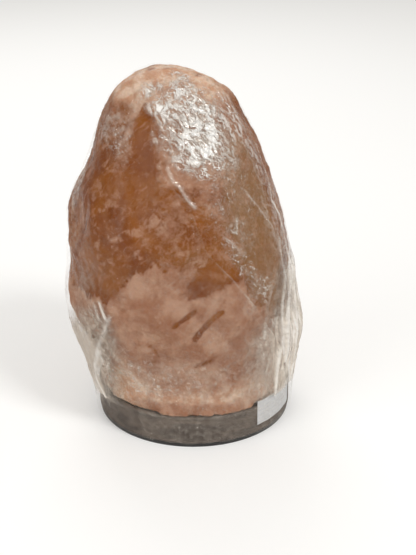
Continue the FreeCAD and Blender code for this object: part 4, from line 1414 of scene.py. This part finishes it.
    def _mesh(self, places: np.ndarray, values: dict[str, np.ndarray], wound: np.ndarray) -> bpy.types.Object:
        """Turns rows of points into the sheet's mesh.

        Args:
            places: The points, row by row.
            values: The values to store at each point.
            wound: How far each column is wound, in degrees.

        Returns:
            The film as a finished piece.
        """
        rows, columns = places.shape[:2]
        drop = np.linalg.norm(np.diff(places, axis=0), axis=2).mean(axis=1)
        down = np.concatenate([[0.0], np.cumsum(drop)]) * MM
        number = np.arange(rows * columns).reshape(rows, columns)
        quads = np.stack([number[:-1, :-1], number[1:, :-1], number[1:, 1:], number[:-1, 1:]], axis=2).reshape(-1, 4)
        mesh = bpy.data.meshes.new("film_wrap")
        mesh.from_pydata([tuple(p) for p in places.reshape(-1, 3) * MM], [], [tuple(int(i) for i in q) for q in quads])
        for name, value in values.items():
            store(mesh, name, value.ravel())
        layer = mesh.uv_layers.new(name="cloth")
        across = np.tile(np.radians(wound) * self.mean_radius, (rows, 1)).ravel()
        lay_out(mesh, layer, np.stack([across, np.repeat(down, columns)], axis=1))
        merge_points(mesh, 0.000001)
        mesh.shade_smooth()
        piece = new_piece("film_wrap", mesh)
        settle(piece, Body.LAMP, self.finish, "stretch_film")
        return piece


@dataclass
class Label:
    """The blank paper label on the base's edge, under the film."""

    finish: LabelPaper = field(default_factory=LabelPaper)
    radius: float = 60.12
    long: float = 38.0
    bottom: float = 7.3
    top: float = 23.4
    turn: float = -32.0

    def build(self) -> bpy.types.Object:
        """Returns the finished label."""
        select_none()
        bpy.ops.mesh.primitive_grid_add(x_subdivisions=38, y_subdivisions=16, size=1.0)
        piece = bpy.context.active_object
        piece.name = "blank_label"
        piece.data.name = "blank_label"
        mesh = piece.data
        flat = read_points(mesh) * MM
        along, up = flat[:, 0] * self.long, (flat[:, 1] + 0.5) * (self.top - self.bottom)
        layer = mesh.uv_layers["UVMap"] if "UVMap" in mesh.uv_layers else mesh.uv_layers[0]
        layer.name = "cloth"
        lay_out(mesh, layer, np.stack([along, up], axis=1) * MM)
        turn = math.radians(self.turn) + along / self.radius
        ripple = 0.10 + 0.10 * np.sin(along * 0.55 + up * 0.2)
        reach = self.radius + ripple
        write_points(mesh, np.stack([np.cos(turn) * reach, np.sin(turn) * reach, self.bottom + up], axis=1))
        mesh.shade_smooth()
        settle(piece, Body.LAMP, self.finish, "paper_label")
        return piece


def metal(name: str, colour: Colour, tarnish: Colour, smooth: float, dull: float, marks: float = 900.0) -> Finish:
    """Returns a field default that makes this metal finish."""
    return field(default_factory=lambda: Metal(name, colour, tarnish, smooth, dull, marks))


def moulded(name: str, colour: Colour, shade: Colour, smooth: float, dull: float, skin: float = 1500.0) -> Finish:
    """Returns a field default that makes this moulded finish."""
    return field(default_factory=lambda: Moulded(name, colour, shade, smooth, dull, skin))


@dataclass
class CadParts:
    """The parts whose CAD shape is right, each with its finish."""

    wood: Finish = field(default_factory=DarkWood)
    felt: Finish = field(default_factory=Felt)
    glass: Finish = field(default_factory=Glass)
    zinc: Finish = metal("zinc_steel", (0.62, 0.62, 0.60), (0.30, 0.29, 0.27), 0.24, 0.46)
    spring: Finish = metal("spring_steel", (0.50, 0.51, 0.52), (0.24, 0.22, 0.2), 0.18, 0.36)
    brass: Finish = metal("brass", (0.70, 0.49, 0.17), (0.33, 0.19, 0.07), 0.18, 0.38)
    nickel: Finish = metal("nickel", (0.66, 0.64, 0.59), (0.34, 0.32, 0.29), 0.14, 0.32)
    solder: Finish = metal("solder", (0.55, 0.56, 0.57), (0.28, 0.28, 0.28), 0.3, 0.55, 400.0)
    tungsten: Finish = metal("tungsten", (0.14, 0.14, 0.15), (0.07, 0.07, 0.07), 0.35, 0.6)
    nylon: Finish = moulded("nylon", (0.54, 0.53, 0.50), (0.42, 0.41, 0.38), 0.42, 0.6)
    plastic: Finish = moulded("holder_plastic", (0.72, 0.70, 0.66), (0.58, 0.55, 0.50), 0.3, 0.48)
    clay: Finish = moulded("porcelain", (0.80, 0.78, 0.73), (0.68, 0.65, 0.58), 0.16, 0.34, 700.0)
    black: Finish = moulded("black_glass", (0.014, 0.014, 0.017), (0.04, 0.04, 0.045), 0.06, 0.2, 600.0)

    def dress(self) -> None:
        """Puts its finish on every CAD part that stays in sight."""
        worn = {
            self.wood: ("wooden_base",),
            self.felt: ("felt_pad",),
            self.zinc: ("fixing_screws", "screw_washers", "threaded_tube", "lock_nut"),
            self.nylon: ("wall_plugs",),
            self.spring: ("spring_bracket",),
            self.plastic: ("holder_cap", "holder_body"),
            self.clay: ("contact_block",),
            self.brass: ("terminal_screws", "centre_contact", "side_contact", "thread_shell"),
            self.nickel: ("bulb_cap",),
            self.black: ("cap_insulator",),
            self.solder: ("bulb_tip",),
            self.glass: ("bulb_glass", "glass_stem"),
            self.tungsten: ("lead_wires", "filament", "filament_support"),
        }
        for finish, names in worn.items():
            for name in names:
                finish.dress(FRAME["nodes"][name])
                LOG.info("%s wears %s", name, finish.name)


@dataclass
class Studio:
    """A plain pale floor, soft lamps and the camera."""

    distance: float = 0.75
    elevation: float = 24.0
    aim: tuple[float, float, float] = (0.0088, 0.0, 0.0844)
    focal: float = 1221.0
    long_side: float = 555.0
    ambient: float = 0.50
    floor_colour: Colour = (0.82, 0.82, 0.81)
    floor_lift: float = 0.2
    warmth: Colour = (1.0, 0.97, 0.925)

    def _camera(self) -> None:
        """Sets the camera at the photograph's angle."""
        data = bpy.data.cameras.new("camera")
        data.sensor_width = 36.0
        data.lens = 36.0 * self.focal / self.long_side
        data.clip_start, data.clip_end = 0.01, 50.0
        camera = bpy.data.objects.new("camera", data)
        bpy.context.scene.collection.objects.link(camera)
        tilt = math.radians(self.elevation)
        camera.location = (self.aim[0], -self.distance * math.cos(tilt), self.aim[2] + self.distance * math.sin(tilt))
        camera.rotation_euler = (math.pi / 2 - tilt, 0.0, 0.0)
        bpy.context.scene.camera = camera

    def _lamp(self, name: str, place: tuple[float, float, float], size: float, power: float) -> None:
        """Hangs one soft square lamp that faces the stone.

        Args:
            name: The lamp's name.
            place: Where it hangs, in metres.
            size: The side of its square.
            power: Its power in watts.
        """
        data = bpy.data.lights.new(name, "AREA")
        data.shape, data.size, data.energy = "SQUARE", size, power
        lamp = bpy.data.objects.new(name, data)
        bpy.context.scene.collection.objects.link(lamp)
        lamp.location = place
        lamp.rotation_euler = (Vector((0.0, 0.0, 0.11)) - Vector(place)).to_track_quat("-Z", "Y").to_euler()

    def _seen(self, board: Board) -> Socket:
        """Returns a socket that is 1 for what the camera sees, straight or through glass."""
        path = board.add("LightPath", {}).outputs
        return board.math("ADD", path["Is Camera Ray"], path["Is Transmission Ray"], True)

    def _floor(self) -> None:
        """Lays the floor, which can't be seen from below."""
        select_none()
        bpy.ops.mesh.primitive_plane_add(size=14.0, location=(0.0, 0.0, 0.0))
        floor = bpy.context.active_object
        floor.name = "floor"
        material = bpy.data.materials.new("floor")
        material.use_nodes = True
        material.node_tree.nodes.clear()
        board = Board(material.node_tree)
        look = {"Base Color": self.floor_colour, "Roughness": 0.9, "Specular IOR Level": 0.0}
        paint = board.add("BsdfPrincipled", look)
        board.feed(paint.inputs["Emission Color"], (1.0, 1.0, 1.0))
        board.feed(paint.inputs["Emission Strength"], board.math("MULTIPLY", self._seen(board), self.floor_lift))
        below = board.add("NewGeometry", {}).outputs["Backfacing"]
        nothing = board.add("BsdfTransparent", {})
        mix = board.add("MixShader", {0: below, 1: paint.outputs[0], 2: nothing.outputs[0]})
        board.add("OutputMaterial", {"Surface": mix.outputs[0]})
        floor.data.materials.append(material)

    def _world(self) -> None:
        """Sets the soft light from all round, which the camera sees as white."""
        world = bpy.data.worlds.new("studio")
        world.use_nodes = True
        world.node_tree.nodes.clear()
        board = Board(world.node_tree)
        seen = self._seen(board)
        strength = board.step(seen, 0.0, 1.0, self.ambient, 1.0)
        colour = board.blend(seen, self.warmth, (1.0, 1.0, 1.0))
        ground = board.add("Background", {"Color": colour, "Strength": strength})
        board.add("OutputWorld", {"Surface": ground.outputs[0]})
        bpy.context.scene.world = world

    def build(self) -> None:
        """Sets up camera, floor, light and colour handling."""
        self._camera()
        self._floor()
        self._world()
        self._lamp("key", (0.62, -0.62, 1.12), 0.32, 7.5)
        self._lamp("fill", (-0.9, -0.7, 0.6), 0.8, 4.0)
        self._lamp("back", (-0.2, 0.9, 0.9), 0.7, 4.0)
        bpy.context.scene.view_settings.view_transform = "Standard"


def main() -> None:
    """Builds the sub-assemblies in order."""
    logging.basicConfig(level=logging.INFO, format="%(name)s %(message)s")
    Studio().build()
    CadParts().dress()
    stone = HewnStone().build()
    label = Label().build()
    FilmWrap().build([stone, FRAME["nodes"]["wooden_base"], label])


if __name__ == "__main__":
    main()
